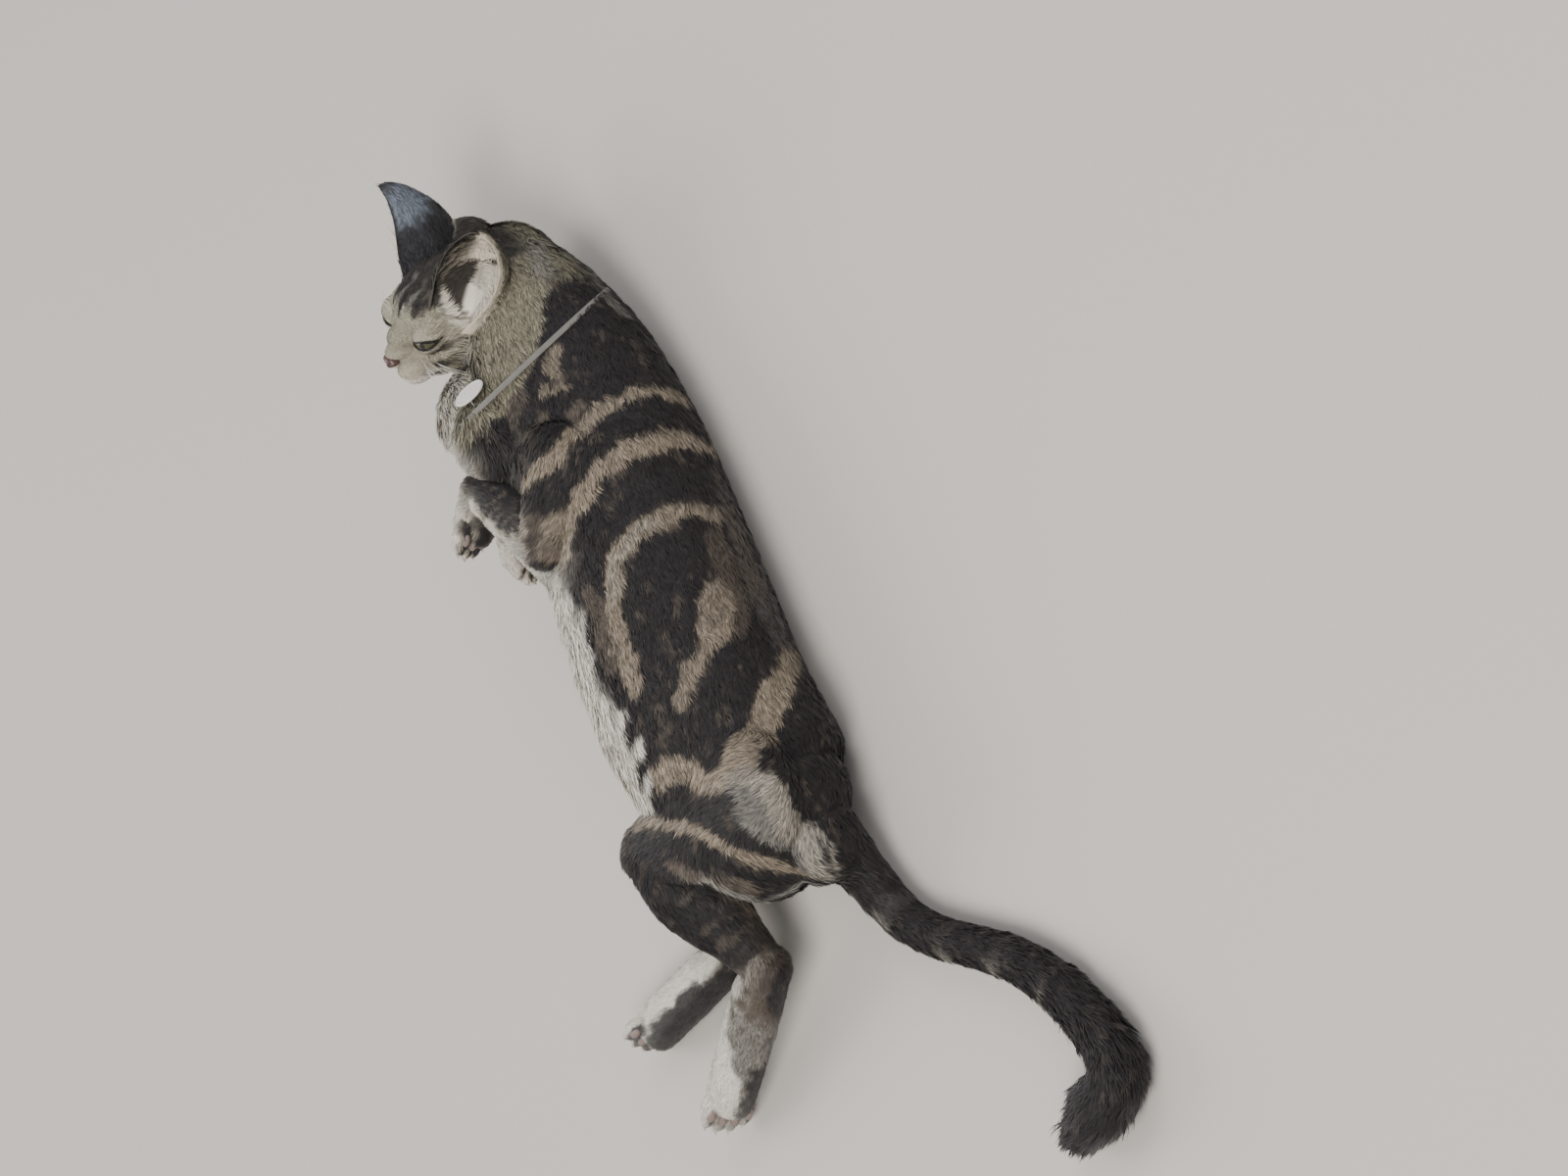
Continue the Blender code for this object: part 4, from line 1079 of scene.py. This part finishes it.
def growCoat(name, ground, count, seed, paint):
    # tufts that lie along the surface, each a flat strip with a tapering tip, in pieces of a fixed size
    draw, want = np.random.default_rng(seed), coatSettings
    tris = ground["tris"]
    corners = ground["places"][tris]
    area = np.linalg.norm(np.cross(corners[:, 1] - corners[:, 0], corners[:, 2] - corners[:, 0]), axis=1)
    odds = area * ground["crowd"][tris].mean(1)
    pick = np.sort(draw.choice(len(tris), count, p=odds / odds.sum()))
    r1, r2 = np.sqrt(draw.random(count)), draw.random(count)
    weights = np.stack([1 - r1, r1 * (1 - r2), r1 * r2], 1)

    def blended(rows):
        return np.einsum("nk,nk...->n...", weights, rows[tris[pick]])

    root, normal, lie = blended(ground["places"]), unit(blended(ground["normals"])), blended(ground["lie"])
    lie = unit(flattened(lie, normal))
    swirl = sum(share * ripple(root, size, seed + 1 + k) for k, (share, size) in enumerate(want["swirls"]))
    swirl = (swirl + draw.normal(0, want["stray"], count))[:, None]
    heading = lie * np.cos(swirl) + np.cross(normal, lie) * np.sin(swirl)
    across = np.cross(normal, heading)
    length = blended(ground["length"]) * draw.uniform(*want["lengths"], count)
    swell, swellSize = want["liftSwell"]
    lift = blended(ground["lift"]) * (1 + swell * ripple(root, swellSize, seed + 3)).clip(0.3, 1.8)
    lift = lift * draw.uniform(*want["lifts"], count)
    width = want["width"][0] + want["width"][1] * length * draw.uniform(*want["widths"], count)
    tilt = draw.normal(0, want["tilt"], count)[:, None]
    edge = across * np.cos(tilt) + normal * np.sin(tilt)
    flatRoot = np.einsum("nk,nkc->nc", weights, ground["flat"][ground["loops"][pick]])
    colour = paint(root, normal)
    tone = ease(0.015, 0.20, colour.mean(1)) * ease(0.62, 0.40, colour.mean(1))
    even, varied = want["contrast"]
    brightness = (1 + (even + varied * tone) * draw.normal(size=count)).clip(*want["brightness"])
    darker, darkShare = want["greyHairs"]  # dark hairs among the pale ones
    brightness *= 1 - darker * tone * (draw.random(count) < darkShare)
    rows, flats, shades, (atRoot, towardsTip) = [], [], [], want["shades"]
    for t in want["sections"]:
        rise = length * lift * (t - 0.5 * t * t) - want["sunk"] * (1 - t)
        centre = root + heading * (length * t)[:, None] + normal * rise[:, None]
        half = width * (0.5 if t < 0.25 else 0.55 * (1 - t) ** 0.55)
        for end in ((-1, 1) if t < 1 else (0,)):
            rows.append(centre + edge * (half * end)[:, None])
            flats.append(flatRoot + np.array([end * 0.4, t - 0.5]) * want["patch"])
            shades.append(colour * (brightness * (atRoot + towardsTip * t))[:, None])
    places, flats, shades = (np.stack(some, 1) for some in (rows, flats, shades))
    places[:, :, 2] = np.maximum(places[:, :, 2], want["lowest"])
    pieces = []
    for first in range(0, count, want["pieceTufts"]):
        some = slice(first, min(first + want["pieceTufts"], count))
        piece = stripMesh("%s_%d" % (name, len(pieces) + 1), places[some], flats[some], shades[some],
                          [(0, 2, 3, 1), (2, 4, 3)])
        shine = normal[some]
        for way, (share, middle, spread) in zip((heading, across), want["shine"]):
            shine = shine + share * way[some] * draw.normal(middle, spread, (some.stop - first, 1))
        piece.data.normals_split_custom_set_from_vertices(np.repeat(unit(shine), len(rows), 0).tolist())
        pieces.append(piece)
    return pieces


ground = groundOf(skin, skinFlat)
ground["crowd"] = density(ground)
inEars = sum(ease(1.1, 0.95, inside(ground["places"], *spot)) for spot in bareSpots[-2:])
skinShade = paintAt(ground["places"], ground["normals"], ground["share"], ground["alongs"])
giveColour(skin, "coatColour", skinShade * (0.55 + 0.45 * inEars)[:, None])


def paintCoat(places, normals):
    share, alongs = nearBones(places)[:2]
    return paintAt(places, normals, share, alongs)


tuftCount = int(coatSettings["tufts"] * (1))
coatPieces = growCoat("coat", ground, tuftCount, 51, paintCoat)
print("coat", tuftCount, "tufts in", len(coatPieces), "pieces")
fleshNodes = [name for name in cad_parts
              if name.split("_")[0] in ("head", "neck", "torso", "tail", "hind", "fore")]


# Ears

def earGrid(side):
    # places over the cup: rows climb the ear, columns run round it, from one front edge to the other
    s, t = np.meshgrid(np.linspace(-ear["root"], 1, ear["rows"]), np.linspace(-1, 1, ear["columns"]),
                       indexing="ij")
    power, swell, root = ear["taper"]
    taper = (1 - np.maximum(s, 0) ** 2) ** power * (1 + swell * np.sin(np.pi * s)) - root * np.minimum(s, 0)
    whole, opened = ear["wrap"]
    angle = np.radians(whole - opened * s) * t
    height, count = ear["folds"]
    fold = height * np.sin(angle * count) * ease(0.75, 0.1, s) * ease(0.95, 0.6, np.abs(t))
    radius = ear["base"] * taper + ear["flare"] - fold
    back = radius * np.cos(angle) - ear["base"] * ear["lean"] * s * s
    spots = np.stack([ear["height"] * s, back, radius * np.sin(angle)], 2)
    return moved(earCup(side), spots.reshape(-1, 3)).reshape(spots.shape), s, t


def makeEar(side):
    # two layers over the cup, closed round the rim
    spots, s, t = earGrid(side)
    rows, columns = spots.shape[:2]
    count = rows * columns
    up = unit(np.gradient(spots, axis=0))
    out = unit(np.cross(np.gradient(spots, axis=1), up))
    if ((spots - spots.mean((0, 1))) * out)[:, columns // 2].sum() < 0:
        out = -out
    half = ear["thick"] / 2 * (0.35 + 0.65 * ease(1.0, 0.86, np.abs(t)) * ease(1.0, 0.9, s))[:, :, None]
    layers = np.concatenate([(spots + out * half).reshape(-1, 3), (spots - out * half).reshape(-1, 3)])
    faces = []
    for a in (i * columns + j for i in range(rows - 1) for j in range(columns - 1)):
        face = (a, a + 1, a + columns + 1, a + columns)
        faces += [face, [corner + count for corner in (face[0], *face[:0:-1])]]
    rim = list(range(columns)) + [(i + 1) * columns - 1 for i in range(1, rows)]
    rim += [count - 1 - j for j in range(1, columns)] + [i * columns for i in range(rows - 2, 0, -1)]
    faces += [(b, a, a + count, b + count) for a, b in zip(rim, rim[1:] + rim[:1])]
    mesh = bpy.data.meshes.new("ear")
    mesh.from_pydata(layers.tolist(), [], faces)
    shape = bmesh.new()
    shape.from_mesh(mesh)
    bmesh.ops.recalc_face_normals(shape, faces=shape.faces)
    shape.to_mesh(mesh)
    shape.free()
    mesh.shade_smooth()
    flat = np.stack([0.02 + 0.22 * (t + 1), 0.05 + 0.9 * (s + ear["root"]) / (1 + ear["root"])], 2)
    flat = np.concatenate([(flat + np.array([shift, 0])).reshape(-1, 2) for shift in (0, 0.5)])
    corner = fetched(mesh.loops, "vertex_index", 1, np.int32)[:, 0]
    giveFlat(mesh, flat[corner])
    s, t, up = (np.concatenate([some.reshape(count, -1)] * 2).squeeze() for some in (s, t * side, up))
    return placed("ear_%s_skin" % sideNames[side], mesh), s, t, up, np.arange(2 * count) < count, flat[corner]


def paintEar(places, s, t, outer, side):
    # t runs from the outer edge of the ear at -1 to the inner edge at 1
    colours = plainCoat("earSkin", places)
    paintInto(colours, "earHair", (~outer) * (0.95 - 0.35 * ease(0.35, 0.75, np.abs(t)) * ease(0.3, 0.8, s)))
    paintInto(colours, "shadow", (~outer) * ease(0.25, 0.60, t) * ease(0.80, 0.55, s) * 0.95)
    paintInto(colours, "earBack", outer * 1.0)
    wander = ripple(places, 0.012, 61) * 0.05
    paintInto(colours, "smoke", outer * ease(0.84, 0.97, s + wander) * 0.7)
    paintInto(colours, "dark", outer * ease(0.56, 0.38, s + wander) * 0.93)
    rim = ease(0.90, 0.97, np.maximum(np.abs(t), s + 0.01))
    paintInto(colours, "olive", outer * ease(-0.2, -0.6, t) * ease(0.42, 0.12, s + wander))
    if side < 0:
        paintInto(colours, "dark", rim * ease(-0.3, 0.2, -t * side) * np.where(outer, 0.9, 0.45))
    else:
        paintInto(colours, "olive", outer * ease(-0.3, 0.3, -t) * 0.9)
        paintInto(colours, "cream", ease(0.84, 0.92, np.maximum(np.abs(t), s)) * 0.9)
        # the inner edge of this ear is darkened on both faces: partly the dark fur beside the crown, partly
        # painted shade of the cup
        paintInto(colours, "dark", ease(0.55, 0.75, t) * 0.9)
    return colours


def dressEar(side):
    made, s, t, up, outer, flat = makeEar(side)
    mesh, name = readMesh(made), "ear_" + sideNames[side]
    colours = paintEar(mesh["places"], s, t, outer, side)
    rim = ease(0.84, 0.92, np.maximum(np.abs(t), s)) if side > 0 else 0
    giveColour(made, "coatColour", colours * np.where(outer, 0.6 + 0.4 * rim, 1.0)[:, None])
    edge = ease(0.99, 0.93, np.abs(t)) * ease(0.99, 0.95, s)
    tree = BVHTree.FromPolygons(mesh["places"].tolist(), mesh["tris"].tolist())

    def paint(places, normals):
        nearest = [tree.find_nearest(Vector(place))[2] for place in places]
        return colours[mesh["tris"][nearest][:, 0]]

    length = 0.0062 - 0.0026 * np.clip(s, 0, 1)
    mesh.update(lie=unit(flattened(up, mesh["normals"])), flat=flat, length=length,
                lift=np.full(len(s), 0.30), crowd=outer * ease(-0.15, 0.0, s) * edge)
    pieces = growCoat(name + "_fur", mesh, ear["furTufts"], 70 + side, paint)
    mesh.update(lift=np.full(len(s), 0.45), length=length * 1.1,
                crowd=~outer * ease(0.02, 0.12, s) * (0.25 + ease(0.3, 0.9, np.abs(t))) * edge)
    pieces += growCoat(name + "_inner", mesh, ear["innerTufts"], 80 + side, paint)
    return made, [*pieces, earHairs(side, mesh, s, t, up, outer)]


def ribbons(name, roots, headings, bends, lengths, widths, colours, flats, segments=5):
    # long loose hairs, each a narrow tapering strip that bends over its length
    rows, shades, where = [], [], []
    aside = unit(np.cross(headings, bends + 1e-6))
    for t in np.arange(segments + 1) / segments:
        centre = roots + headings * (lengths * t)[:, None] + bends * (lengths * t * t)[:, None]
        half = widths / 2 * (1 - t) ** 0.6
        for end in ((-1, 1) if t < 1 else (0,)):
            rows.append(centre + aside * (half * end)[:, None])
            shades.append(colours * (0.8 + 0.25 * t))
            where.append(flats + np.array([end * 0.001, (t - 0.5) * 0.003]))
    faces = [(2 * k, 2 * k + 1, 2 * k + 3, 2 * k + 2) for k in range(segments - 1)]
    faces.append((2 * segments - 2, 2 * segments - 1, 2 * segments))
    return stripMesh(name, *(np.stack(some, 1) for some in (rows, where, shades)), faces)


def earHairs(side, mesh, s, t, up, outer):
    # the long pale hairs that cross the opening from its inner edge and from deep in the cup
    draw = np.random.default_rng(90 + side)
    inner = np.flatnonzero(~outer & (s > 0.0) & (s < 0.62) & (t > 0.45) & (t < 0.99))
    pick = draw.choice(inner, ear["hairs"])
    count, s, t, up, normals = len(pick), s[pick], t[pick], up[pick], mesh["normals"][pick]
    left = unit(np.array(headMatrix.to_3x3() @ Vector((0.25, side, 0.0))))
    heading = unit(left[None] * 0.75 + up * 0.75 + normals * 0.35 + draw.normal(0, 0.16, (count, 3)))
    bend = unit(up * 0.6 - normals * 0.3) * draw.uniform(0.1, 0.45, (count, 1))
    lengths = draw.uniform(0.007, 0.017, count) * (1.15 - 0.7 * s)
    colours = plainCoat("cream", heading) * draw.uniform(0.75, 1.1, (count, 1))
    flats = np.stack([0.52 + 0.22 * (t * side + 1), 0.2 + 0.6 * s], 1)
    return ribbons("ear_%s_hairs" % sideNames[side], mesh["places"][pick], heading, bend, lengths,
                   draw.uniform(0.0002, 0.00045, count), colours, flats)


# Eyes

# the green and amber of the iris are set dark, with painted shade in them
eye = {"iris": 50, "pupil": (0.16, 0.82), "bulge": 0.05, "green": (0.27, 0.28, 0.15),
       "amber": (0.31, 0.27, 0.14), "white": (0.45, 0.38, 0.33)}


def makeEye(side):
    # a ball with a slight bulge over the iris; the iris, its streaks and the pupil are painted in, with
    # painted shade round the iris's rim and over its top
    shape = bmesh.new()
    addBlob(shape, Matrix.Rotation(math.pi / 2, 4, "Y"), (0, 0, 0), (1, 1, 1), rings=48)
    made = objectFrom(shape, "eye_%s_ball" % sideNames[side])
    spots = unit(readMesh(made)["places"])
    x, y, z = spots.T
    turn = np.degrees(np.arccos(np.clip(x, -1, 1)))
    radius = head["eyeRadius"] * (0.985 + eye["bulge"] * np.exp(-(turn / 30) ** 2))
    iris = math.sin(math.radians(eye["iris"]))
    out = np.sqrt(y * y + z * z) / iris
    around = np.arctan2(z, y)
    streaks = np.sin(around * 61) * 0.5 + np.sin(around * 37 + 2 * out) * 0.5
    green, amber, white = (np.array(fromPicture(*eye[key])) for key in ("green", "amber", "white"))
    wide, tall = eye["pupil"]
    slit = np.sqrt((y / (wide * iris * 1.25)) ** 2 + (z / (tall * iris)) ** 2)
    colours = amber + (green - amber) * ease(0.35, 0.75, out)[:, None]
    # the streaks and the pupil are the iris's own; the dark rim of the iris and the darkening towards its top
    # are painted shade
    for shade in (1 + 0.16 * streaks * ease(0.1, 0.4, out), 1 - 0.75 * ease(0.80, 1.0, out),
                  0.55 + 0.45 * ease(-0.2, 0.6, 0.4 - z * 1.2), ease(0.93, 1.05, slit)):
        colours *= shade[:, None]
    colours += (white - colours) * (ease(1.02, 1.10, out) * (x < 0.9))[:, None]
    writePlaces(made, moved(eyeMatrix(side), spots * radius[:, None]))
    giveColour(made, "eyeColour", np.maximum(colours, 0.002))
    made.data.shade_smooth()
    return made


# Nose leather, pads, claws and whiskers

def makeNose():
    # a leather pad of blobs; a blob with a place to one side gets a twin on the other
    made = []
    for name, voxel, softening, blobs in (
            ("nose_leather", 0.00036, 5, (((0.0495, 0, -0.0085), (0.0040, 0.0052, 0.0029), 20),
                                          ((0.0503, 0, -0.0120), (0.0032, 0.0021, 0.0030), 20),
                                          ((0.0492, 0.0040, -0.0098), (0.0034, 0.0021, 0.0022), 16))),
            ("nostrils", 0.0003, 2, (((0.0530, 0.0026, -0.0099), (0.0026, 0.0012, 0.0009), 12),
                                     ((0.0505, 0.0046, -0.0108), (0.0030, 0.0019, 0.0005), 12)))):
        shape = bmesh.new()
        for side in sideNames:
            for (x, y, z), radii, rings in blobs:
                if y or side > 0:
                    addBlob(shape, headMatrix, (x, y * side, z), radii, rings=rings)
        made.append(fused(shape, name, voxel, softening))
    return combined(*made, "DIFFERENCE")


pad = {"share": 0.98, "lobes": [((-1.28, 0.50, aside), (0.36, 0.30, 0.30)) for aside in (-0.34, 0.34)],
       "voxel": 0.0005, "softening": 4}
claw = {"ahead": 0.96, "reach": 0.24, "down": -0.02, "hook": 0.30, "radius": 0.085, "tip": 0.006,
        "steps": (0, 0.2, 0.4, 0.6, 0.8, 1.0)}


def makePads(one):
    shape, foot = bmesh.new(), footMatrix(one)
    for place, radii in pads(one):
        addBlob(shape, foot, place, [r * pad["share"] for r in radii], rings=16)
    for place, radii in onFoot(one, pad["lobes"]):
        addBlob(shape, foot, place, radii, rings=14)
    return fused(shape, one["name"] + "_pads", pad["voxel"], pad["softening"])


def makeClaws(one):
    shape, foot, size = bmesh.new(), footMatrix(one), one["size"]
    for back, aside in leg["toes"]:
        rows = []
        for t in claw["steps"]:
            ahead, down = back + claw["ahead"] + claw["reach"] * t, claw["down"] + claw["hook"] * t * t
            place = foot @ Vector((ahead * size, down * size, aside * size))
            rows.append((*place, *[size * (claw["radius"] * (1 - t) ** 0.8 + claw["tip"])] * 3))
        addTube(shape, rows, Vector(one["sole"]).normalized(), 0, steps=3, sides=12)
    return objectFrom(shape, one["name"] + "_claws")


skinTree = BVHTree.FromPolygons(ground["places"].tolist(), ground["tris"].tolist())
whisker = {"radius": 0.00021, "tip": 0.00003, "sag": 0.30, "sunk": 0.001, "highest": 0.1405, "points": 7,
           "lengths": (0.9, 1.1), "stray": (0.05, 0.06)}


def makeWhiskers():
    draw = np.random.default_rng(33)
    shape, turn = bmesh.new(), headMatrix.to_3x3()
    # root, length and heading of each whisker of the muzzle, then of each over the eye
    starts = [((0.0405 - 0.0030 * column, 0.0165, -0.0120 - 0.0030 * row),
               0.034 + 0.006 * column + 0.002 * row, (0.30 - 0.24 * column, 1.0, 0.10 - 0.15 * row))
              for row in range(4) for column in range(3)]
    starts += [((0.034 - 0.003 * k, 0.013 + 0.003 * k, 0.0165), 0.020 + 0.004 * k,
                (0.5, 0.45 + 0.2 * k, 0.75)) for k in range(3)]
    for side in sideNames:
        for (x, y, z), length, way in starts:
            if z > 0:
                far, aim = (x + 0.03, y * side, z + 0.02), (x - 0.012, y * side, z - 0.012)
            else:
                far, aim = (x, 0.05 * side, z), (x - 0.006, 0.002 * side, z + 0.001)
            far, aim = headMatrix @ Vector(far), headMatrix @ Vector(aim)
            hit = skinTree.ray_cast(far, aim - far)[0]
            if hit is None:
                continue
            ahead, up = (draw.normal(0, stray) for stray in whisker["stray"])
            heading = (turn @ Vector((way[0] + ahead, way[1] * side, way[2] + up))).normalized()
            droop = (turn @ Vector((-0.42, 0, -0.16 - 0.04 * draw.random()))).normalized()
            length *= draw.uniform(*whisker["lengths"])
            rows = []
            for t in np.linspace(0, 1, whisker["points"]):
                place = (hit + heading * (length * t - whisker["sunk"])
                         + droop * (length * whisker["sag"] * t * t))
                place.z = min(place.z, whisker["highest"])
                rows.append((*place, *[whisker["radius"] * (1 - t) ** 0.7 + whisker["tip"]] * 3))
            addTube(shape, rows, Vector((0.1, 0.2, 0.97)), 0, steps=2, sides=6)
    return objectFrom(shape, "whiskers")


# Collar and tag

def makeCollar():
    # a strap that bridges the hollows of the neck; also gives the line that it follows
    turn = axesMatrix(collar["normal"], leftward, collar["place"]).to_3x3()
    angles = np.linspace(0, 2 * np.pi, collar["steps"], endpoint=False)
    rays = [turn @ Vector((0, math.cos(a), math.sin(a))) for a in angles]
    reaches = [(skinTree.ray_cast(collar["place"], ray)[0] - collar["place"]).length for ray in rays]
    for _ in range(collar["rounds"]):
        reaches = np.maximum(reaches, (np.roll(reaches, 1) + np.roll(reaches, -1)) / 2)
    reaches += trunk["coat"] - collar["sink"]
    shape = bmesh.new()
    loops = [[shape.verts.new(collar["place"] + ray * (reach + out * collar["thick"])
                              + turn @ Vector((along * collar["width"], 0, 0)))
              for along, out in collar["section"]] for ray, reach in zip(rays, reaches)]
    joinLoops(shape, loops + loops[:1])
    line = [collar["place"] + ray * reach for ray, reach in zip(rays, reaches)]
    return objectFrom(shape, "collar_strap"), line


def makeTag():
    # a plain domed oval with a raised rim, hung from a small ring
    centre = sum((Vector(c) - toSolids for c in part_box("collar_tag")), Vector()) / 2
    frameAt = axesMatrix(skinTree.find_nearest(centre)[1], Vector((-0.12, 0.77, 0.63)), centre)
    tall, wide, thick = collar["tag"]
    shape, sides = bmesh.new(), 64
    profile = collar["tagProfile"] + [(r, -h) for r, h in collar["tagProfile"][-2:0:-1]]
    top, bottom = (shape.verts.new(frameAt @ Vector((thick * h, 0, 0))) for h in (1.05, -1.05))
    rings = [[shape.verts.new(frameAt @ Vector((h * thick, r * tall * math.cos(a), r * wide * math.sin(a))))
              for a in np.linspace(0, 2 * np.pi, sides, endpoint=False)] for r, h in profile[1:]]
    for k in range(sides):
        n = (k + 1) % sides
        shape.faces.new((top, rings[0][k], rings[0][n]))
        shape.faces.new((bottom, rings[-1][n], rings[-1][k]))
        for below, above in zip(rings, rings[1:]):
            shape.faces.new((below[k], above[k], above[n], below[n]))
    return objectFrom(shape, "collar_tag_plate"), frameAt


def makeRing(line, frameAt):
    # a wire ring through the edge of the tag, round the strap's near edge
    centre = frameAt.translation
    nearest = min(line, key=lambda place: (place - centre).length)
    towards = (nearest - centre).normalized()
    radius, wire = collar["ring"]
    place = centre + towards * (collar["tag"][1] + radius * 0.35)
    turned = axesMatrix(towards, frameAt.to_3x3().col[0], place)
    places = [turned @ Vector((math.cos(a) * radius, math.sin(a) * radius, 0))
              for a in np.linspace(0, 2 * np.pi, 33)]
    shape = bmesh.new()
    addTube(shape, [(*place, wire, wire, wire) for place in places], turned.to_3x3().col[2], 0, 2, 10)
    return objectFrom(shape, "tag_ring")


def plainLook(name, colour, second, scale, roughness, bump=0.3, size=0.0003, **fixed):
    # two close tones that wander into each other, with a fine grain
    look = Look(name, **fixed)
    grain = look.noise(scale, 4, 0.65)
    look.feed(Base_Color=look.tones(grain, colour, second), Roughness=roughness + (grain - 0.5) * 0.2)
    return look.bump(grain, bump, size).material


def eyeLook():
    look = Look("eye", Coat_Weight=1.0, Coat_Roughness=0.02, Coat_IOR=1.45, Specular_IOR_Level=0.5)
    threads = look.noise(1500, 3)
    shade = look.blend(0.25, look.attribute("eyeColour"), look.grey(threads, 0.6, 1.4), "MULTIPLY")
    return look.feed(Base_Color=shade, Roughness=0.25 + threads * 0.15).material


def strapLook():
    look = Look("strap", Sheen_Weight=0.2)
    ribs = look.node("TexWave", {"wave_type": "BANDS", "bands_direction": "DIAGONAL"},
                     {"Vector": look.node("TexCoord", out=3), "Scale": 600, "Distortion": 0.6, "Detail": 1})
    wear = look.noise(120, 4)
    look.feed(Base_Color=look.tones(ribs * 0.35 + wear * 0.4, (0.55, 0.54, 0.52), (0.30, 0.29, 0.28)),
              Roughness=0.75 + wear * 0.2)
    return look.bump(ribs, 0.5, 0.0002).material


skinMaterial, coatMaterial = skinLook(), coatLook()
settle(skin, skinMaterial, "tabby_fur", *fleshNodes)
for piece in coatPieces:
    settle(piece, coatMaterial, "tabby_fur")
for side, name in sideNames.items():
    earSkin, earPieces = dressEar(side)
    settle(earSkin, skinMaterial, "ear_skin", "ear_" + name)
    for piece in earPieces:
        settle(piece, coatMaterial, "tabby_fur")
    settle(makeEye(side), eyeLook(), "eye", "eye_" + name)
print("ears and eyes")

noseLook = plainLook("noseLeather", (0.36, 0.25, 0.23), (0.25, 0.17, 0.16), 900, 0.38, 0.5, 0.0002,
                     Coat_Weight=0.25)
padLook = plainLook("padLeather", (0.60, 0.53, 0.50), (0.46, 0.39, 0.37), 1600, 0.6, 0.8, 0.0003)
clawLook = plainLook("claw", (0.82, 0.74, 0.66), (0.62, 0.52, 0.45), 300, 0.35)
whiskerLook = plainLook("whisker", (0.92, 0.90, 0.86), (0.82, 0.79, 0.74), 200, 0.4)
tagLook = plainLook("tagPlate", (0.96, 0.95, 0.93), (0.88, 0.86, 0.83), 260, 0.32, 0.15, 0.0001,
                    Coat_Weight=0.3)
ringLook = plainLook("ringWire", (0.62, 0.61, 0.59), (0.50, 0.49, 0.48), 400, 0.28, 0.2, 0.0001, Metallic=1.0)
small = [(makeNose(), noseLook, "nose_skin", "nose")]
for one in legs:
    small += [(makePads(one), padLook, "nose_skin"), (makeClaws(one), clawLook, "nose_skin")]
small.append((makeWhiskers(), whiskerLook, "pale_fur"))
strap, strapLine = makeCollar()
tagPlate, tagFrame = makeTag()
small += [(strap, strapLook(), "collar_strap", "collar"), (tagPlate, tagLook, "tag_plate", "collar_tag"),
          (makeRing(strapLine, tagFrame), ringLook, "tag_plate")]
for made, *rest in small:
    made.data.shade_smooth()
    settle(made, *rest)
print("nose, pads, claws, whiskers, collar and tag")


# Floor, light and camera

view = {"place": (-0.7111, -1.3547, 1.466), "look": (0.34016, 0.62649, -0.70128),
        "top": (0.85877, -0.51082, -0.03979), "focal": 3408, "picture": 1600, "sensor": 36}


def makeCamera():
    data = bpy.data.cameras.new("camera")
    data.sensor_width = view["sensor"]
    data.lens = view["sensor"] * view["focal"] / view["picture"]
    data.clip_end = 50
    made = placed("camera", data)
    z = -Vector(view["look"]).normalized()
    x = Vector(view["top"]).cross(z).normalized()
    turned = Matrix((x, z.cross(x), z)).transposed().to_4x4()
    made.matrix_world = Matrix.Translation(Vector(view["place"]) + toSolids) @ turned
    bpy.context.scene.camera = made


def makeFloor():
    mesh = bpy.data.meshes.new("floor")
    mesh.from_pydata([(-9, -9, 0), (9, -9, 0), (9, 9, 0), (-9, 9, 0)], [], [(0, 1, 2, 3)])
    look = Look("floor", Base_Color=(0.60, 0.56, 0.52, 1), Roughness=0.7, Specular_IOR_Level=0.2)
    mesh.materials.append(look.material)
    made = placed("floor", mesh)


lights = [  # name, place, size, power and colour
    ("key", (-1.4, -0.6, 2.4), 1.6, 66, (1.0, 0.97, 0.93)),
    ("fill", (1.6, -1.6, 1.8), 2.0, 28, (0.94, 0.97, 1.0)),
    ("back", (0.8, 1.8, 1.6), 1.6, 26, (1.0, 0.98, 0.95)),
]


def makeLight(name, place, size, power, colour):
    data = bpy.data.lights.new(name, "AREA")
    data.shape, data.size, data.energy, data.color = "DISK", size, power, colour
    turned = (Vector((0, 0, 0.05)) - Vector(place)).to_track_quat("-Z", "Y").to_matrix().to_4x4()
    placed(name, data).matrix_world = Matrix.Translation(place) @ turned


makeCamera()
makeFloor()
for light in lights:
    makeLight(*light)
world = bpy.data.worlds.new("world")
world.use_nodes = True
world.node_tree.nodes["Background"].inputs["Color"].default_value = (0.86, 0.88, 0.90, 1)
world.node_tree.nodes["Background"].inputs["Strength"].default_value = 0.55
bpy.context.scene.world = world
